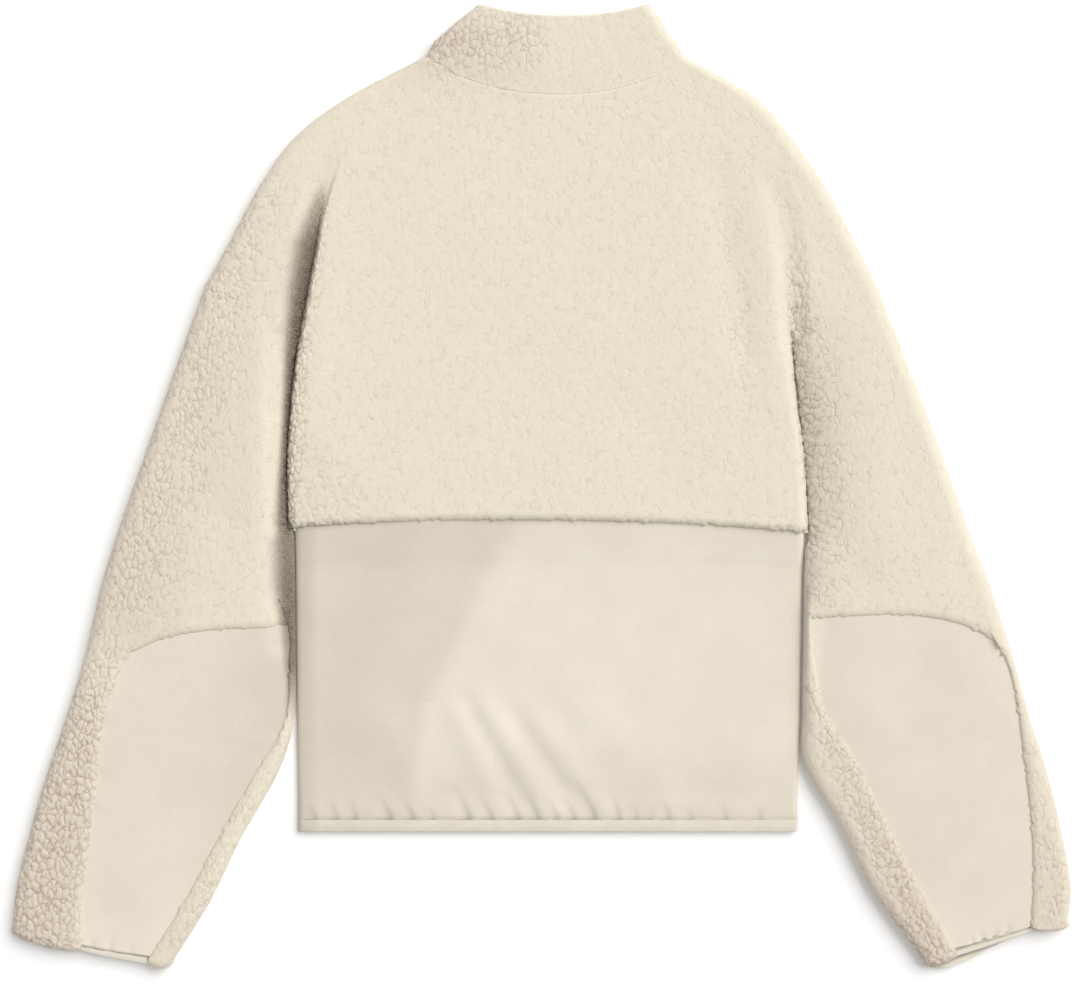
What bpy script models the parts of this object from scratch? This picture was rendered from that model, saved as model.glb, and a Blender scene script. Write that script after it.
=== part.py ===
"""Sherpa fleece pullover laid flat on its front, with its back upwards.

The tables are in millimetres: x runs across the garment from its centre line, y up from the
lower edge of the hem binding, z up from the surface it lies on. Meshes are in metres, and the
middle of the garment's footprint is put at the origin.

The body, the collar, the sleeves and the bindings are flattened tubes. A tube is a stack of
rows, each a section that runs from one folded edge across to the other, over an upper layer
and back under a lower one. A cut piece is the set of a tube's cells that it covers, given its
wall thickness and drawn back from its neighbours at the seams.
"""

from collections import namedtuple

import bmesh
import bpy
import numpy as np

MM = 0.001

# Cloth, in millimetres
SHERPA_WALL = 7.5  # knitted backing and its pile
WOVEN_WALL = 2.0
BINDING_WALL = 2.8
SEAM_GAP = 0.3
LEAST_SLIT = 0.5  # between the upper and the lower layer of a tube
SEAM_Z = 8.5  # height of the folded edge of a sherpa tube

# A folded edge is turned over in these angles, from the edge to where the layer lies flat.
FOLD_TURN = 1 - np.cos(np.radians([0, 30, 60, 90]))
# Shares of the way between a sleeve's edge and the seam beside it.
OUTER_SHARES = np.array([0, 0.04, 0.13, 0.27, 0.6, 1])
INNER_SHARES = np.array([1, 0.66, 0.38, 0.15, 0.04, 0])

# The body down to the armholes, as points on the outline, the creases beside the sleeves, how
# far the row sags between them, and the creases' width and depths.
ShoulderRow = namedtuple(
    "ShoulderRow",
    "edge_left crease_left crease_right edge_right sag fold groove depth_left depth_right top_z steps",
)
SHOULDER_ROWS = (
    ShoulderRow((-93, 602), (-71, 588), (85, 586), (108, 601), 15, 6, 6, 0, 0, 16.6, 2),
    ShoulderRow((-154, 570), (-122, 553), (122, 553), (162, 570), 10, 10, 11, 0, 0, 17, 2),
    ShoulderRow((-195, 539), (-156, 525), (155, 525), (190, 539), 8, 11, 13, -0.5, 0, 17.2, 2),
    ShoulderRow((-222, 502), (-172, 488), (178, 492), (216, 502), 6, 11, 14, 4.6, 1.2, 17.4, 2),
    ShoulderRow((-243, 463), (-181, 444), (187, 444), (237, 463), 5, 11, 15, 8.2, 3, 17.4, 2),
    ShoulderRow((-265, 423), (-191.5, 387), (190, 387), (257, 423), 3, 11, 15, 8.4, 4.5, 17.4, 1),
)
# Shares of a crease's width on the sleeve's side of it and on the back's side
GROOVE_LEFT = (1.45, 0.26)
GROOVE_RIGHT = (1.2, 0.9)
# The body from the armholes down to the yoke seam, between its own folded edges.
TorsoRow = namedtuple("TorsoRow", "left right sag fold_left fold_right top_z steps")
TORSO_ROWS = (
    TorsoRow((-191.5, 387), (190, 387), 3, 8, 15, 17.4, 2),
    TorsoRow((-197.5, 336), (194.5, 336), 0, 8, 14, 17.4, 2),
    TorsoRow((-200.5, 285), (200.5, 285), -4, 8, 13, 17.2, 2),
    TorsoRow((-199.5, 236), (203, 232), -8, 8, 12, 17, 1),
)
# The woven band: its edges, sag, the heights of its upper and lower faces, and the edge's height.
BandRow = namedtuple("BandRow", "left right sag fold top_z under_z seam_z steps")
BAND_ROWS = (
    BandRow((-195, 236), (200.4, 232), -8, 6, 11.4, 4.6, 8.0, 2),
    BandRow((-195, 214), (200, 212), -5, 6, 8.4, 1.8, 5.2, 2),
    BandRow((-195, 190), (199.4, 190), -2, 5, 6.8, 0, 3.6, 3),
    BandRow((-194, 102), (198, 102), 0, 5, 6.6, 0, 3.4, 3),
    BandRow((-193, 34), (196, 34), 0, 4.5, 6.6, 0, 3.4, 2),
    BandRow((-193, 9), (196, 9), 0, 4, 6.4, 0, 3.3, 1),
)
BAND_INSET = 3.5  # the sherpa's edges stand this far out past the band's
HEM_BINDING_WIDTH = 8.6
BAND_TOP_Z = 7.0  # the hem binding's edges
BAND_BULGE = 0.5  # the crown between them

# A sleeve, from the armhole down: its outer edge, the seams of the forearm panel, its inner
# edge, how far the row rises over the panel and sags over the strips beside it, the inner
# edge's fold and the sleeve's height.
SleeveRow = namedtuple(
    "SleeveRow", "outer seam_out seam_in inner rise sag_out sag_in inner_fold top_z steps"
)
LEFT_SLEEVE_ROWS = (
    SleeveRow((-285, 367), (-256, 361), (-220, 349), (-198.1, 342), 0, 0, 0, 17, 17.6, 2),
    SleeveRow((-307, 305), (-274, 300), (-223, 293), (-201.4, 291), 0, 0, 0, 18, 17.4, 2),
    SleeveRow((-329, 243), (-297, 237), (-223, 233), (-200.9, 237), 0, 0, 0, 18, 17.2, 2),
    SleeveRow((-338, 215), (-306, 209), (-219, 210), (-196.2, 229), 0, 0, 0, 17, 17.1, 1),
    SleeveRow((-346, 188), (-314, 182), (-214, 188), (-196, 189), 4, 0, 0, 14, 17, 1),
    SleeveRow((-359, 133), (-328, 130), (-204, 159), (-195.8, 159), 13, 0, 0, 8, 17, 2),
    SleeveRow((-373, 87), (-343, 87), (-204.2, 91), (-195.5, 93), 2, 0, 0, 8, 16.8, 2),
    SleeveRow((-388, 43), (-348, 41), (-226, 45), (-207, 49), 0, 0, 0, 11, 16.6, 2),
    SleeveRow((-400, 2), (-353, -1), (-254, -4), (-237, -5), 0, 0, 0, 11, 16.4, 2),
    SleeveRow((-410, -38), (-359, -48), (-279, -51), (-261, -54), 0, 1, 1, 11, 16.2, 2),
    SleeveRow((-414, -72), (-360, -87), (-307, -96), (-288, -97), -1, 4, 4, 11, 16, 1),
)
RIGHT_SLEEVE_ROWS = (
    SleeveRow((279, 367), (261, 363), (225, 351), (195.2, 344), 0, 0, 0, 20, 17.6, 2),
    SleeveRow((303, 305), (280, 300), (231, 294), (201.1, 291), 0, 0, 0, 24, 17.4, 2),
    SleeveRow((325, 243), (300, 237), (234, 231), (204.2, 234), 0, 0, 0, 24, 17.2, 1),
    SleeveRow((335, 216), (311, 211), (229, 209), (201.4, 219), 1, 0, 0, 19, 17.1, 1),
    SleeveRow((345, 190), (323, 188), (222, 188), (200.5, 188), 5, 0, 0, 13, 17, 1),
    SleeveRow((363, 133), (355, 135), (209, 166), (200.4, 166), 20, 0, 0, 8, 17, 2),
    SleeveRow((374, 93), (365, 94), (215, 100), (199.3, 96), 4, 0, 0, 9, 16.8, 2),
    SleeveRow((388, 49), (371, 48), (242, 53), (201, 52), 0, 0, 0, 12, 16.6, 2),
    SleeveRow((399, 5), (376, 2), (265, 5), (228, 4), 0, 0, 0, 11, 16.4, 2),
    SleeveRow((407, -40), (377, -42), (289, -41), (253, -46), 0, 1, 1, 11, 16.2, 2),
    SleeveRow((405, -68), (375, -73), (317, -90), (291, -98), -1, 3, 3, 11, 16, 1),
)
PANEL_START = 6  # the sleeve row, the armhole being 0, where the forearm panel begins
SLEEVE_OUTER_FOLD = 11
STRIP_FOLD_SHARE = 0.85  # the most of a strip beside a panel seam that its fold may take
ARMHOLE_SEAM_OUT = 0.32  # where the sleeve's columns start, as shares of the way from the
ARMHOLE_SEAM_IN = 0.8  # shoulder edge to the crease
FOREARM_PANEL_DROP = 4.2  # the panel's face lies this far below the pile around it
PANEL_FOLD_SHARE = 0.6  # how much of the sleeve's folds the thin panel takes
SleeveSide = namedtuple("SleeveSide", "name armhole_shift under_reach")
LEFT = SleeveSide("left", (-0.5, -0.6), 0)
RIGHT = SleeveSide("right", (0.5, -0.6), 7)  # its lower layer shows past the upper at the cuff
REACH_SKEW = 2.4  # above 1, it reaches out most near the inner edge
CUFF_BINDING_WIDTH = 4.5
CUFF_WIDEN = (0.45, 1.5)  # shares of its width at the outer and at the inner edge
CUFF_SEAM_GAP = 1.3  # measured down the sleeve, where the seam runs aslant
CUFF_BINDING_FOLD = 6
CUFF_BINDING_BULGE = 0.4
CUFF_ROWS = 3  # rows over which the lower layer comes to reach past the upper one
CUFF_INSET = 4.5
CUFF_BINDING_TOP = 11.4
CUFF_BINDING_UNDER = 4.0

CollarRow = namedtuple("CollarRow", "left right sag fold top_z steps")
COLLAR_ROWS = (
    CollarRow((-93, 602), (108, 601), 0, 6, 16.6, 2),
    CollarRow((-87, 613), (100, 614), 27, 8, 17.2, 1),
    CollarRow((-77, 622), (93, 623), 22, 8, 17.2, 1),
    CollarRow((-64, 633), (88, 632), 16, 8, 16.8, 1),
    CollarRow((-55, 640), (82, 640), 9, 8, 16.4, 1),
)
NECK_POWER = 2.2  # how square the neck curve and the rows like it are
PANEL_SHOULDER = 0.6  # how far the forearm panel's upper seam is humped towards its outer end
CREASE_SHARE = 0.8  # share of a groove over which the back's columns stand close together

# Soft ridges (height over 0) and troughs (under 0) in an upper layer, each along a line.
Fold = namedtuple("Fold", "x0 y0 x1 y1 width height")
YOKE_FOLDS = (
    Fold(-168, 470, -182, 300, 16, 1.0),
    Fold(132, 508, 152, 375, 13, -1.5),
    Fold(166, 480, 178, 330, 12, 1.0),
    Fold(60, 330, 120, 250, 30, -0.7),
    Fold(-60, 480, 20, 400, 36, 0.6),
    Fold(-120, 330, -150, 255, 20, -0.8),
)
BAND_FOLDS = (
    Fold(-60, 222, -112, 110, 22, -1.0),
    Fold(-70, 92, -42, 30, 11, 1.4),
    Fold(-46, 94, 2, 16, 10, 1.6),
    Fold(-8, 84, 42, 20, 12, 1.4),
    Fold(-62, 100, -18, 22, 8, -1.0),
    Fold(-24, 90, 24, 18, 8, -1.0),
    Fold(20, 110, 96, 24, 18, 0.9),
    Fold(120, 190, 150, 60, 30, 0.8),
    Fold(-84, 230, -134, 90, 34, 2.0),
    Fold(-160, 200, -170, 60, 30, -1.2),
    Fold(-120, 80, -96, 18, 12, 0.9),
)
LEFT_SLEEVE_FOLDS = (
    Fold(-268, 424, -234, 412, 6, -2.2),
    Fold(-203, 384, -206, 330, 9, -6.0),
    Fold(-207, 320, -208, 240, 7, -5.0),
    Fold(-204, 222, -203, 146, 10, -5.5),
    Fold(-220, 400, -226, 250, 12, 1.0),
    Fold(-276, 352, -268, 262, 22, -1.4),
    Fold(-300, 282, -322, 180, 24, 0.8),
    Fold(-246, 240, -262, 170, 16, -0.8),
    Fold(-300, 120, -330, -40, 22, 0.6),
)
RIGHT_SLEEVE_FOLDS = (
    Fold(212, 390, 224, 230, 14, -1.4),
    Fold(252, 380, 268, 230, 22, 1.0),
    Fold(290, 320, 312, 190, 20, 0.6),
    Fold(240, 200, 300, 120, 18, -0.7),
    Fold(330, 100, 330, -30, 22, 0.6),
)
# Gathers where the hem binding draws the woven band in: foot on the binding, lean and reach of
# the crease above it, its width and depth. A low roll of cloth runs along their feet.
Gather = namedtuple("Gather", "x lean reach width depth")
GATHERS = (
    Gather(-181, -4, 13, 5, 1.2),
    Gather(-164, -5, 15, 5, 1.3),
    Gather(-149, -5, 16, 5, 1.4),
    Gather(-122, -10, 20, 6, 1.6),
    Gather(-104, -8, 16, 5, 1.4),
    Gather(-88, -6, 12, 5, 1.0),
    Gather(-61, -11, 24, 6, 1.8),
    Gather(-43, -9, 17, 5, 1.3),
    Gather(-23, -12, 24, 6, 1.8),
    Gather(-7, -9, 20, 5, 1.4),
    Gather(8, -9, 17, 5, 1.4),
    Gather(21, -9, 18, 5, 1.4),
    Gather(37, -16, 30, 6, 1.9),
    Gather(56, -6, 20, 5, 1.5),
    Gather(70, -4, 12, 5, 1.0),
    Gather(80, 4, 12, 5, 1.0),
    Gather(95, -5, 15, 5, 1.4),
    Gather(112, -4, 12, 5, 1.0),
    Gather(139, -4, 14, 5, 1.1),
    Gather(166, -4, 12, 5, 0.9),
)

ROLL_HEIGHT = 0.9
ROLL_UP = 8
ROLL_WIDTH = 9

YOKE_MIDDLE = 14  # cells across the back between its creases
FRONT_MIDDLE = 6
BAND_MIDDLE = 66
SHOULDER_MIDDLE = 3
PANEL_CELLS = 8
SLEEVE_UNDER_CELLS = 12
SHOULDER_COLUMNS = len(FOLD_TURN) + SHOULDER_MIDDLE + 1  # outside each crease of the back
PATH_POINTS = 49  # on the plan line of a row
PANEL_POINTS = 33  # on its stretch over a forearm panel
SHARP_ANGLE = 50
NO_LENGTH = 1e-6

Tube = namedtuple("Tube", "outer inner")
Paint = namedtuple("Paint", "name colour roughness")
SHERPA = Paint("sherpa_pile", (0.78, 0.72, 0.60, 1), 0.95)
WOVEN = Paint("woven_shell", (0.74, 0.68, 0.57, 1), 0.6)
BINDING = Paint("elastic_binding", (0.80, 0.75, 0.64, 1), 0.75)


def smooth_values(values, at):
    """Values of a Catmull-Rom curve through the rows, at fractional row numbers."""
    last = len(values) - 1
    start = np.minimum(np.floor(at).astype(int), last - 1)
    t = (at - start).reshape((-1,) + (1,) * (values.ndim - 1))
    here, there = values[start], values[start + 1]
    slope_here = (there - values[np.maximum(start - 1, 0)]) / 2
    slope_there = (values[np.minimum(start + 2, last)] - here) / 2
    return (
        here * (1 + 2 * t) * (1 - t) ** 2
        + slope_here * t * (1 - t) ** 2
        + there * t**2 * (3 - 2 * t)
        + slope_there * t**2 * (t - 1)
    )


def row_numbers(table):
    """Where rows are made: at each of the table's rows, and evenly between it and the next."""
    at = [i + step / row.steps for i, row in enumerate(table[:-1]) for step in range(row.steps)]
    return np.array(at + [len(table) - 1])


def smooth_rows(table):
    """The table's rows with the ones between them filled in."""
    kind = type(table[0])
    at = row_numbers(table)
    columns = [np.array(column, float) for column in zip(*table)]
    return [kind(*values) for values in zip(*(smooth_values(column, at) for column in columns))]


def sagging(start, end, sag):
    """Plan points of a row from start to end, hanging below the straight line by sag."""
    u = np.linspace(0, 1, PATH_POINTS)
    points = np.outer(1 - u, start) + np.outer(u, end)
    points[:, 1] -= sag * (1 - np.abs(2 * u - 1) ** NECK_POWER)
    return points


def along(path, distances):
    """Points at these distances along a plan path."""
    at = path_marks(path)
    return np.column_stack([np.interp(distances, at, path[:, k]) for k in (0, 1)])


def path_marks(path):
    """Distances along a path at which its own points stand."""
    return np.concatenate([[0], np.cumsum(np.linalg.norm(np.diff(path, axis=0), axis=1))])


def length_of(path):
    return path_marks(path)[-1]


def turn_at(distance, fold):
    """Angle round a folded edge at a distance from it, a quarter turn where the layer is flat."""
    return np.arccos(np.clip(1 - distance / fold, 0, 1))


def layer(path, distances, folds, seam_z, face_z, wall):
    """Outer and inner points of one layer between its two folded edges."""
    length = length_of(path)
    from_left = turn_at(distances, folds[0])
    from_right = turn_at(length - distances, folds[1])
    lift = np.sin(from_left) * np.sin(from_right)
    wall_in = np.abs(wall)
    inner_distances = distances + wall_in * np.cos(from_left) - wall_in * np.cos(from_right)
    outer = np.column_stack([along(path, distances), seam_z + (face_z - seam_z) * lift])
    inner_z = seam_z + (face_z - wall - seam_z) * lift
    inner = np.column_stack([along(path, inner_distances), inner_z])
    return outer, inner


def fold_heights(points, folds):
    """Height that the folds give each plan point."""
    total = np.zeros(len(points))
    for fold in folds:
        start = np.array([fold.x0, fold.y0], float)
        run = np.array([fold.x1, fold.y1], float) - start
        share = np.clip((points[:, :2] - start) @ run / (run @ run), 0, 1)
        away = np.linalg.norm(points[:, :2] - start - share[:, None] * run, axis=1)
        total += fold.height * np.exp(-((away / fold.width) ** 2))
    return total


def gather_heights(points, hem_y):
    """Height that the gathers above the hem give each plan point: creases between small puffs."""
    up = points[:, 1] - hem_y
    total = ROLL_HEIGHT * np.exp(-(((up - ROLL_UP) / ROLL_WIDTH) ** 2))
    for gather in GATHERS:
        crease_x = gather.x + gather.lean * up / gather.reach
        across = np.exp(-(((points[:, 0] - crease_x) / gather.width) ** 2))
        total -= gather.depth * across * np.clip(1 - up / gather.reach, 0, 1)
    return total


def raise_layer(outer, inner, heights, floor_z):
    """Moves an upper layer by these heights, keeping its inner face off the layer below."""
    outer[:, 2] += heights
    inner[:, 2] = np.maximum(inner[:, 2] + heights, np.minimum(inner[:, 2], floor_z))


def edge_mask(distances, length, folds):
    """1 in the flat of a layer and 0 at its folded edges."""
    return np.sin(turn_at(distances, folds[0])) * np.sin(turn_at(length - distances, folds[1]))


# ---- rows of each tube ----


def shoulder_path(row):
    """Plan path of a row above the armholes: shoulder, back between the creases, shoulder."""
    middle = sagging(row.crease_left, row.crease_right, row.sag)
    return np.vstack([row.edge_left, middle, row.edge_right])


def shoulder_distances(row, middle):
    """Where a shoulder row's columns stand, as distances from its left edge."""
    length = length_of(shoulder_path(row))
    crease_left = np.linalg.norm(np.subtract(row.edge_left, row.crease_left))
    crease_right = length - np.linalg.norm(np.subtract(row.edge_right, row.crease_right))

    def shoulder(crease):
        to_groove = np.linspace(row.fold, crease - row.groove, SHOULDER_MIDDLE + 1)[1:]
        return np.concatenate([row.fold * FOLD_TURN, to_groove, [crease - row.groove / 2]])

    left = shoulder(crease_left)
    right = length - shoulder(length - crease_right)[::-1]
    close = row.groove * CREASE_SHARE
    torso = torso_distances(crease_left, crease_right, close, close, middle)
    return np.concatenate([left, torso, right])


def torso_distances(start, end, fold_left, fold_right, middle):
    """Columns between two creases or folded edges: close together at each, even between."""
    left = start + fold_left * FOLD_TURN
    right = (end - fold_right * FOLD_TURN)[::-1]
    return np.concatenate([left, np.linspace(left[-1], right[0], middle + 1)[1:-1], right])


def groove_depth(inwards, groove, shares, depth):
    """Depth of a crease at a distance from it, which is above 0 on the back's side."""
    width = groove * np.where(inwards < 0, *shares)
    share = np.clip(np.abs(inwards) / width, 0, 1)
    return depth * (1 - share**2) ** 2


def shoulder_section(row, middle, upper):
    path = shoulder_path(row)
    length = length_of(path)
    distances = shoulder_distances(row, middle)
    folds = (row.fold, row.fold)
    if not upper:
        return layer(path, distances, folds, SEAM_Z - SEAM_GAP / 2, 0, -SHERPA_WALL)
    outer, inner = layer(path, distances, folds, SEAM_Z + SEAM_GAP / 2, row.top_z, SHERPA_WALL)
    crease_left = np.linalg.norm(np.subtract(row.edge_left, row.crease_left))
    crease_right = length - np.linalg.norm(np.subtract(row.edge_right, row.crease_right))
    heights = fold_heights(outer, YOKE_FOLDS) * edge_mask(distances, length, folds)
    heights -= groove_depth(distances - crease_left, row.groove, GROOVE_LEFT, row.depth_left)
    heights -= groove_depth(crease_right - distances, row.groove, GROOVE_RIGHT, row.depth_right)
    raise_layer(outer, inner, heights, SHERPA_WALL + LEAST_SLIT)
    return outer, inner


def torso_section(row, middle, upper):
    """A torso row, with its shoulder columns folded up at its ends so that the rows stack."""
    path = sagging(row.left, row.right, row.sag)
    length = length_of(path)
    distances = torso_distances(0, length, row.fold_left, row.fold_right, middle)
    folds = (row.fold_left, row.fold_right)
    if upper:
        outer, inner = layer(path, distances, folds, SEAM_Z + SEAM_GAP / 2, row.top_z, SHERPA_WALL)
        heights = fold_heights(outer, YOKE_FOLDS) * edge_mask(distances, length, folds)
        raise_layer(outer, inner, heights, SHERPA_WALL + LEAST_SLIT)
    else:
        outer, inner = layer(path, distances, folds, SEAM_Z - SEAM_GAP / 2, 0, -SHERPA_WALL)
    return with_shoulder_columns(outer), with_shoulder_columns(inner)


def with_shoulder_columns(points):
    start = np.tile(points[0], (SHOULDER_COLUMNS, 1))
    end = np.tile(points[-1], (SHOULDER_COLUMNS, 1))
    return np.vstack([start, points, end])


def body_upper(middle, upper):
    """The sherpa part of one layer of the body, and which of its cells are cloth."""
    shoulders = [shoulder_section(row, middle, upper) for row in smooth_rows(SHOULDER_ROWS)]
    torsos = [torso_section(row, middle, upper) for row in smooth_rows(TORSO_ROWS)[1:]]
    sections = shoulders + torsos
    tube = stacked(sections)
    cells = np.ones((len(sections) - 1, tube.outer.shape[1] - 1), bool)
    cells[len(shoulders) - 1 :, :SHOULDER_COLUMNS] = False
    cells[len(shoulders) - 1 :, -SHOULDER_COLUMNS:] = False
    return tube, cells


def yoke_seam_path():
    """The band's top row: the yoke's last row, set in at its ends by the depth of the pile."""
    row = TORSO_ROWS[-1]
    path = sagging(row.left, row.right, row.sag)
    inset = np.linspace(BAND_INSET, length_of(path) - BAND_INSET, PATH_POINTS)
    return along(path, inset) - (0, SEAM_GAP)


def band_section(row, path, middle, upper):
    length = length_of(path)
    distances = torso_distances(0, length, row.fold, row.fold, middle)
    folds = (row.fold, row.fold)
    if not upper:
        return layer(path, distances, folds, row.seam_z - SEAM_GAP / 2, row.under_z, -WOVEN_WALL)
    outer, inner = layer(path, distances, folds, row.seam_z + SEAM_GAP / 2, row.top_z, WOVEN_WALL)
    heights = fold_heights(outer, BAND_FOLDS) + gather_heights(outer, BAND_ROWS[-1].left[1])
    heights *= edge_mask(distances, length, folds)
    floor_z = row.under_z + WOVEN_WALL + LEAST_SLIT
    heights = np.maximum(heights, floor_z + WOVEN_WALL - outer[:, 2])
    heights *= edge_mask(distances, length, folds)
    outer[:, 2] += heights
    inner[:, 2] += heights
    return outer, inner


def band_layer(middle, upper):
    rows = [row._replace(under_z=max(row.under_z, 0)) for row in smooth_rows(BAND_ROWS)]
    paths = [yoke_seam_path()] + [sagging(row.left, row.right, row.sag) for row in rows[1:]]
    return stacked([band_section(row, path, middle, upper) for row, path in zip(rows, paths)])


def ring_section(upper, lower, folds, seam_z, top_z, under_z, wall):
    """One row of a closed ring: its upper layer, then its lower layer back to the start.

    Each of the two is a plan path with the distances along it at which its columns stand.
    """
    over = layer(*upper, folds, seam_z, top_z, wall)
    under = layer(*lower, folds, seam_z, under_z, -wall)
    return tuple(np.vstack([a, b[-2:0:-1]]) for a, b in zip(over, under))


def collar_ring():
    """The collar, its columns in line with the neck edges of the back and the front."""
    neck = smooth_rows(SHOULDER_ROWS)[0]
    neck_path = shoulder_path(neck)
    over = shoulder_distances(neck, YOKE_MIDDLE)
    under = shoulder_distances(neck, FRONT_MIDDLE)
    sections = []
    for number, row in enumerate(smooth_rows(COLLAR_ROWS)):
        path = collar_path(row, neck_path, min(number / COLLAR_ROWS[0].steps, 1)) + (0, SEAM_GAP)
        scale = length_of(path) / length_of(neck_path)
        folds = (row.fold, row.fold)
        upper, lower = (path, over * scale), (path, under * scale)
        sections.append(ring_section(upper, lower, folds, SEAM_Z, row.top_z, 0, SHERPA_WALL))
    return stacked(sections)


def collar_path(row, neck_path, rising):
    """A collar row's plan path, the first ones turning from the neck's line to the collar's."""
    if rising >= 1:
        return sagging(row.left, row.right, row.sag)
    even = np.linspace(0, 1, PATH_POINTS)
    first = sagging(COLLAR_ROWS[1].left, COLLAR_ROWS[1].right, COLLAR_ROWS[1].sag)
    from_neck = along(neck_path, even * length_of(neck_path))
    return from_neck * (1 - rising) + along(first, even * length_of(first)) * rising


def stacked(sections):
    return Tube(*(np.array([section[k] for section in sections]) for k in (0, 1)))


def sleeve_path(row):
    """Plan path of a sleeve row from its outer edge over both panel seams to its inner edge."""
    s = np.linspace(0, 1, PANEL_POINTS)
    panel = np.outer(1 - s, row.seam_out) + np.outer(s, row.seam_in)
    panel[:, 1] += row.rise * np.sin(np.pi * s**PANEL_SHOULDER)
    outer_strip = sagging(row.outer, row.seam_out, row.sag_out)
    inner_strip = sagging(row.seam_in, row.inner, row.sag_in)
    return np.vstack([outer_strip[:-1], panel, inner_strip[1:]])


def strip_lengths(row):
    """Lengths of a row's strips of pile, outside and inside the forearm panel."""
    outer_strip = sagging(row.outer, row.seam_out, row.sag_out)
    inner_strip = sagging(row.seam_in, row.inner, row.sag_in)
    return length_of(outer_strip), length_of(inner_strip)


def sleeve_distances(row):
    """Columns of a sleeve's upper layer, the panel's seams among them."""
    outer_strip, inner_strip = strip_lengths(row)
    length = length_of(sleeve_path(row))
    panel = np.linspace(outer_strip, length - inner_strip, PANEL_CELLS + 1)[1:-1]
    return np.concatenate([OUTER_SHARES * outer_strip, panel, length - INNER_SHARES * inner_strip])


def sleeve_folds(row):
    """How deep each edge's fold is, ending short of the seam beside it."""
    outer_strip, inner_strip = strip_lengths(row)
    return (
        min(SLEEVE_OUTER_FOLD, STRIP_FOLD_SHARE * outer_strip),
        min(row.inner_fold, STRIP_FOLD_SHARE * inner_strip),
    )


def under_path(path, reach):
    """The lower layer's row, which reaches further down than the upper one's."""
    share = path_marks(path) / length_of(path)
    lowered = path.copy()
    lowered[:, 1] -= reach * np.sin(np.pi * share**REACH_SKEW) ** 2
    return lowered


def sleeve_rows(side, table, armhole):
    """The sleeve's rows, the first one following the armhole edge of the body."""
    edge, crease = (np.array(point, float) + side.armhole_shift for point in armhole)
    first = table[0]._replace(
        outer=tuple(edge),
        seam_out=tuple(edge + (crease - edge) * ARMHOLE_SEAM_OUT),
        seam_in=tuple(edge + (crease - edge) * ARMHOLE_SEAM_IN),
        inner=tuple(crease),
        top_z=SHOULDER_ROWS[-1].top_z,
    )
    return smooth_rows((first,) + table)


def panel_first_row(table):
    return sum(row.steps for row in (table[0],) + table[: PANEL_START - 1])


def sleeve_tubes(side, table, armhole, folds):
    """The sherpa tube of a sleeve and the woven one whose cells fill its panel."""
    sherpa, woven = [], []
    rows = sleeve_rows(side, table, armhole)
    for number, row in enumerate(rows):
        path = sleeve_path(row)
        distances = sleeve_distances(row)
        edges = sleeve_folds(row)
        near_cuff = np.clip((number + 1 + CUFF_ROWS - len(rows)) / CUFF_ROWS, 0, 1)
        lower_path = under_path(path, side.under_reach * near_cuff)
        lower_distances = torso_distances(0, length_of(lower_path), *edges, SLEEVE_UNDER_CELLS)
        upper, lower = (path, distances), (lower_path, lower_distances)
        panel_z = row.top_z - FOREARM_PANEL_DROP
        pile = ring_section(upper, lower, edges, SEAM_Z, row.top_z, 0, SHERPA_WALL)
        shell = ring_section(upper, lower, edges, SEAM_Z, panel_z, 0, WOVEN_WALL)
        heights = np.zeros(len(pile[0]))
        flat = edge_mask(distances, length_of(path), edges)
        heights[: len(distances)] = fold_heights(along(path, distances), folds) * flat
        raise_layer(*pile, heights, SHERPA_WALL + LEAST_SLIT)
        for points in shell:
            points[:, 2] += PANEL_FOLD_SHARE * heights
        sherpa.append(pile)
        woven.append(shell)
    return stacked(sherpa), stacked(woven)


def sleeve_cells(tube, table):
    """Cells of the sleeve's pile and of its forearm panel."""
    rows, columns = tube.outer.shape[:2]
    panel = np.zeros((rows - 1, columns), bool)
    first = len(OUTER_SHARES) - 1
    panel[panel_first_row(table) :, first : first + PANEL_CELLS] = True
    return ~panel, panel


def cuff_binding(tube, table):
    """A band that carries on from the sleeve's last row, set in at its ends under the pile."""
    last = tube.outer[-1][:, :2]
    run = np.subtract(table[-1].outer, table[-3].outer) + np.subtract(table[-1].inner, table[-3].inner)
    down = run / np.linalg.norm(run)
    count = len(OUTER_SHARES) + PANEL_CELLS - 1 + len(INNER_SHARES)
    over = last[:count]
    under = np.vstack([last[count - 1 :], last[:1]])[::-1]
    folds = (CUFF_BINDING_FOLD, CUFF_BINDING_FOLD)
    sections = []
    for distance, bulge in (
        (CUFF_SEAM_GAP, 0),
        (CUFF_BINDING_WIDTH / 2, CUFF_BINDING_BULGE),
        (CUFF_BINDING_WIDTH, 0),
    ):
        paths = [shifted(set_in(path, CUFF_INSET), down, distance) for path in (over, under)]
        upper, lower = [(path, path_marks(path)) for path in paths]
        top_z, under_z = CUFF_BINDING_TOP + bulge, CUFF_BINDING_UNDER - bulge
        sections.append(ring_section(upper, lower, folds, SEAM_Z, top_z, under_z, BINDING_WALL))
    return stacked(sections)


def shifted(path, down, distance):
    """The path this far below the cuff seam's, and further towards the inner edge."""
    widen = np.interp(path_marks(path), (0, length_of(path)), CUFF_WIDEN)
    return path + np.outer(CUFF_SEAM_GAP + (distance - CUFF_SEAM_GAP) * widen, down)


def set_in(path, inset):
    """The path without its first and last stretch of this length."""
    marks = path_marks(path)
    ends = along(path, np.array([inset, marks[-1] - inset]))
    kept = (marks > inset + LEAST_SLIT) & (marks < marks[-1] - inset - LEAST_SLIT)
    return np.vstack([ends[:1], path[kept], ends[1:]])


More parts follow.
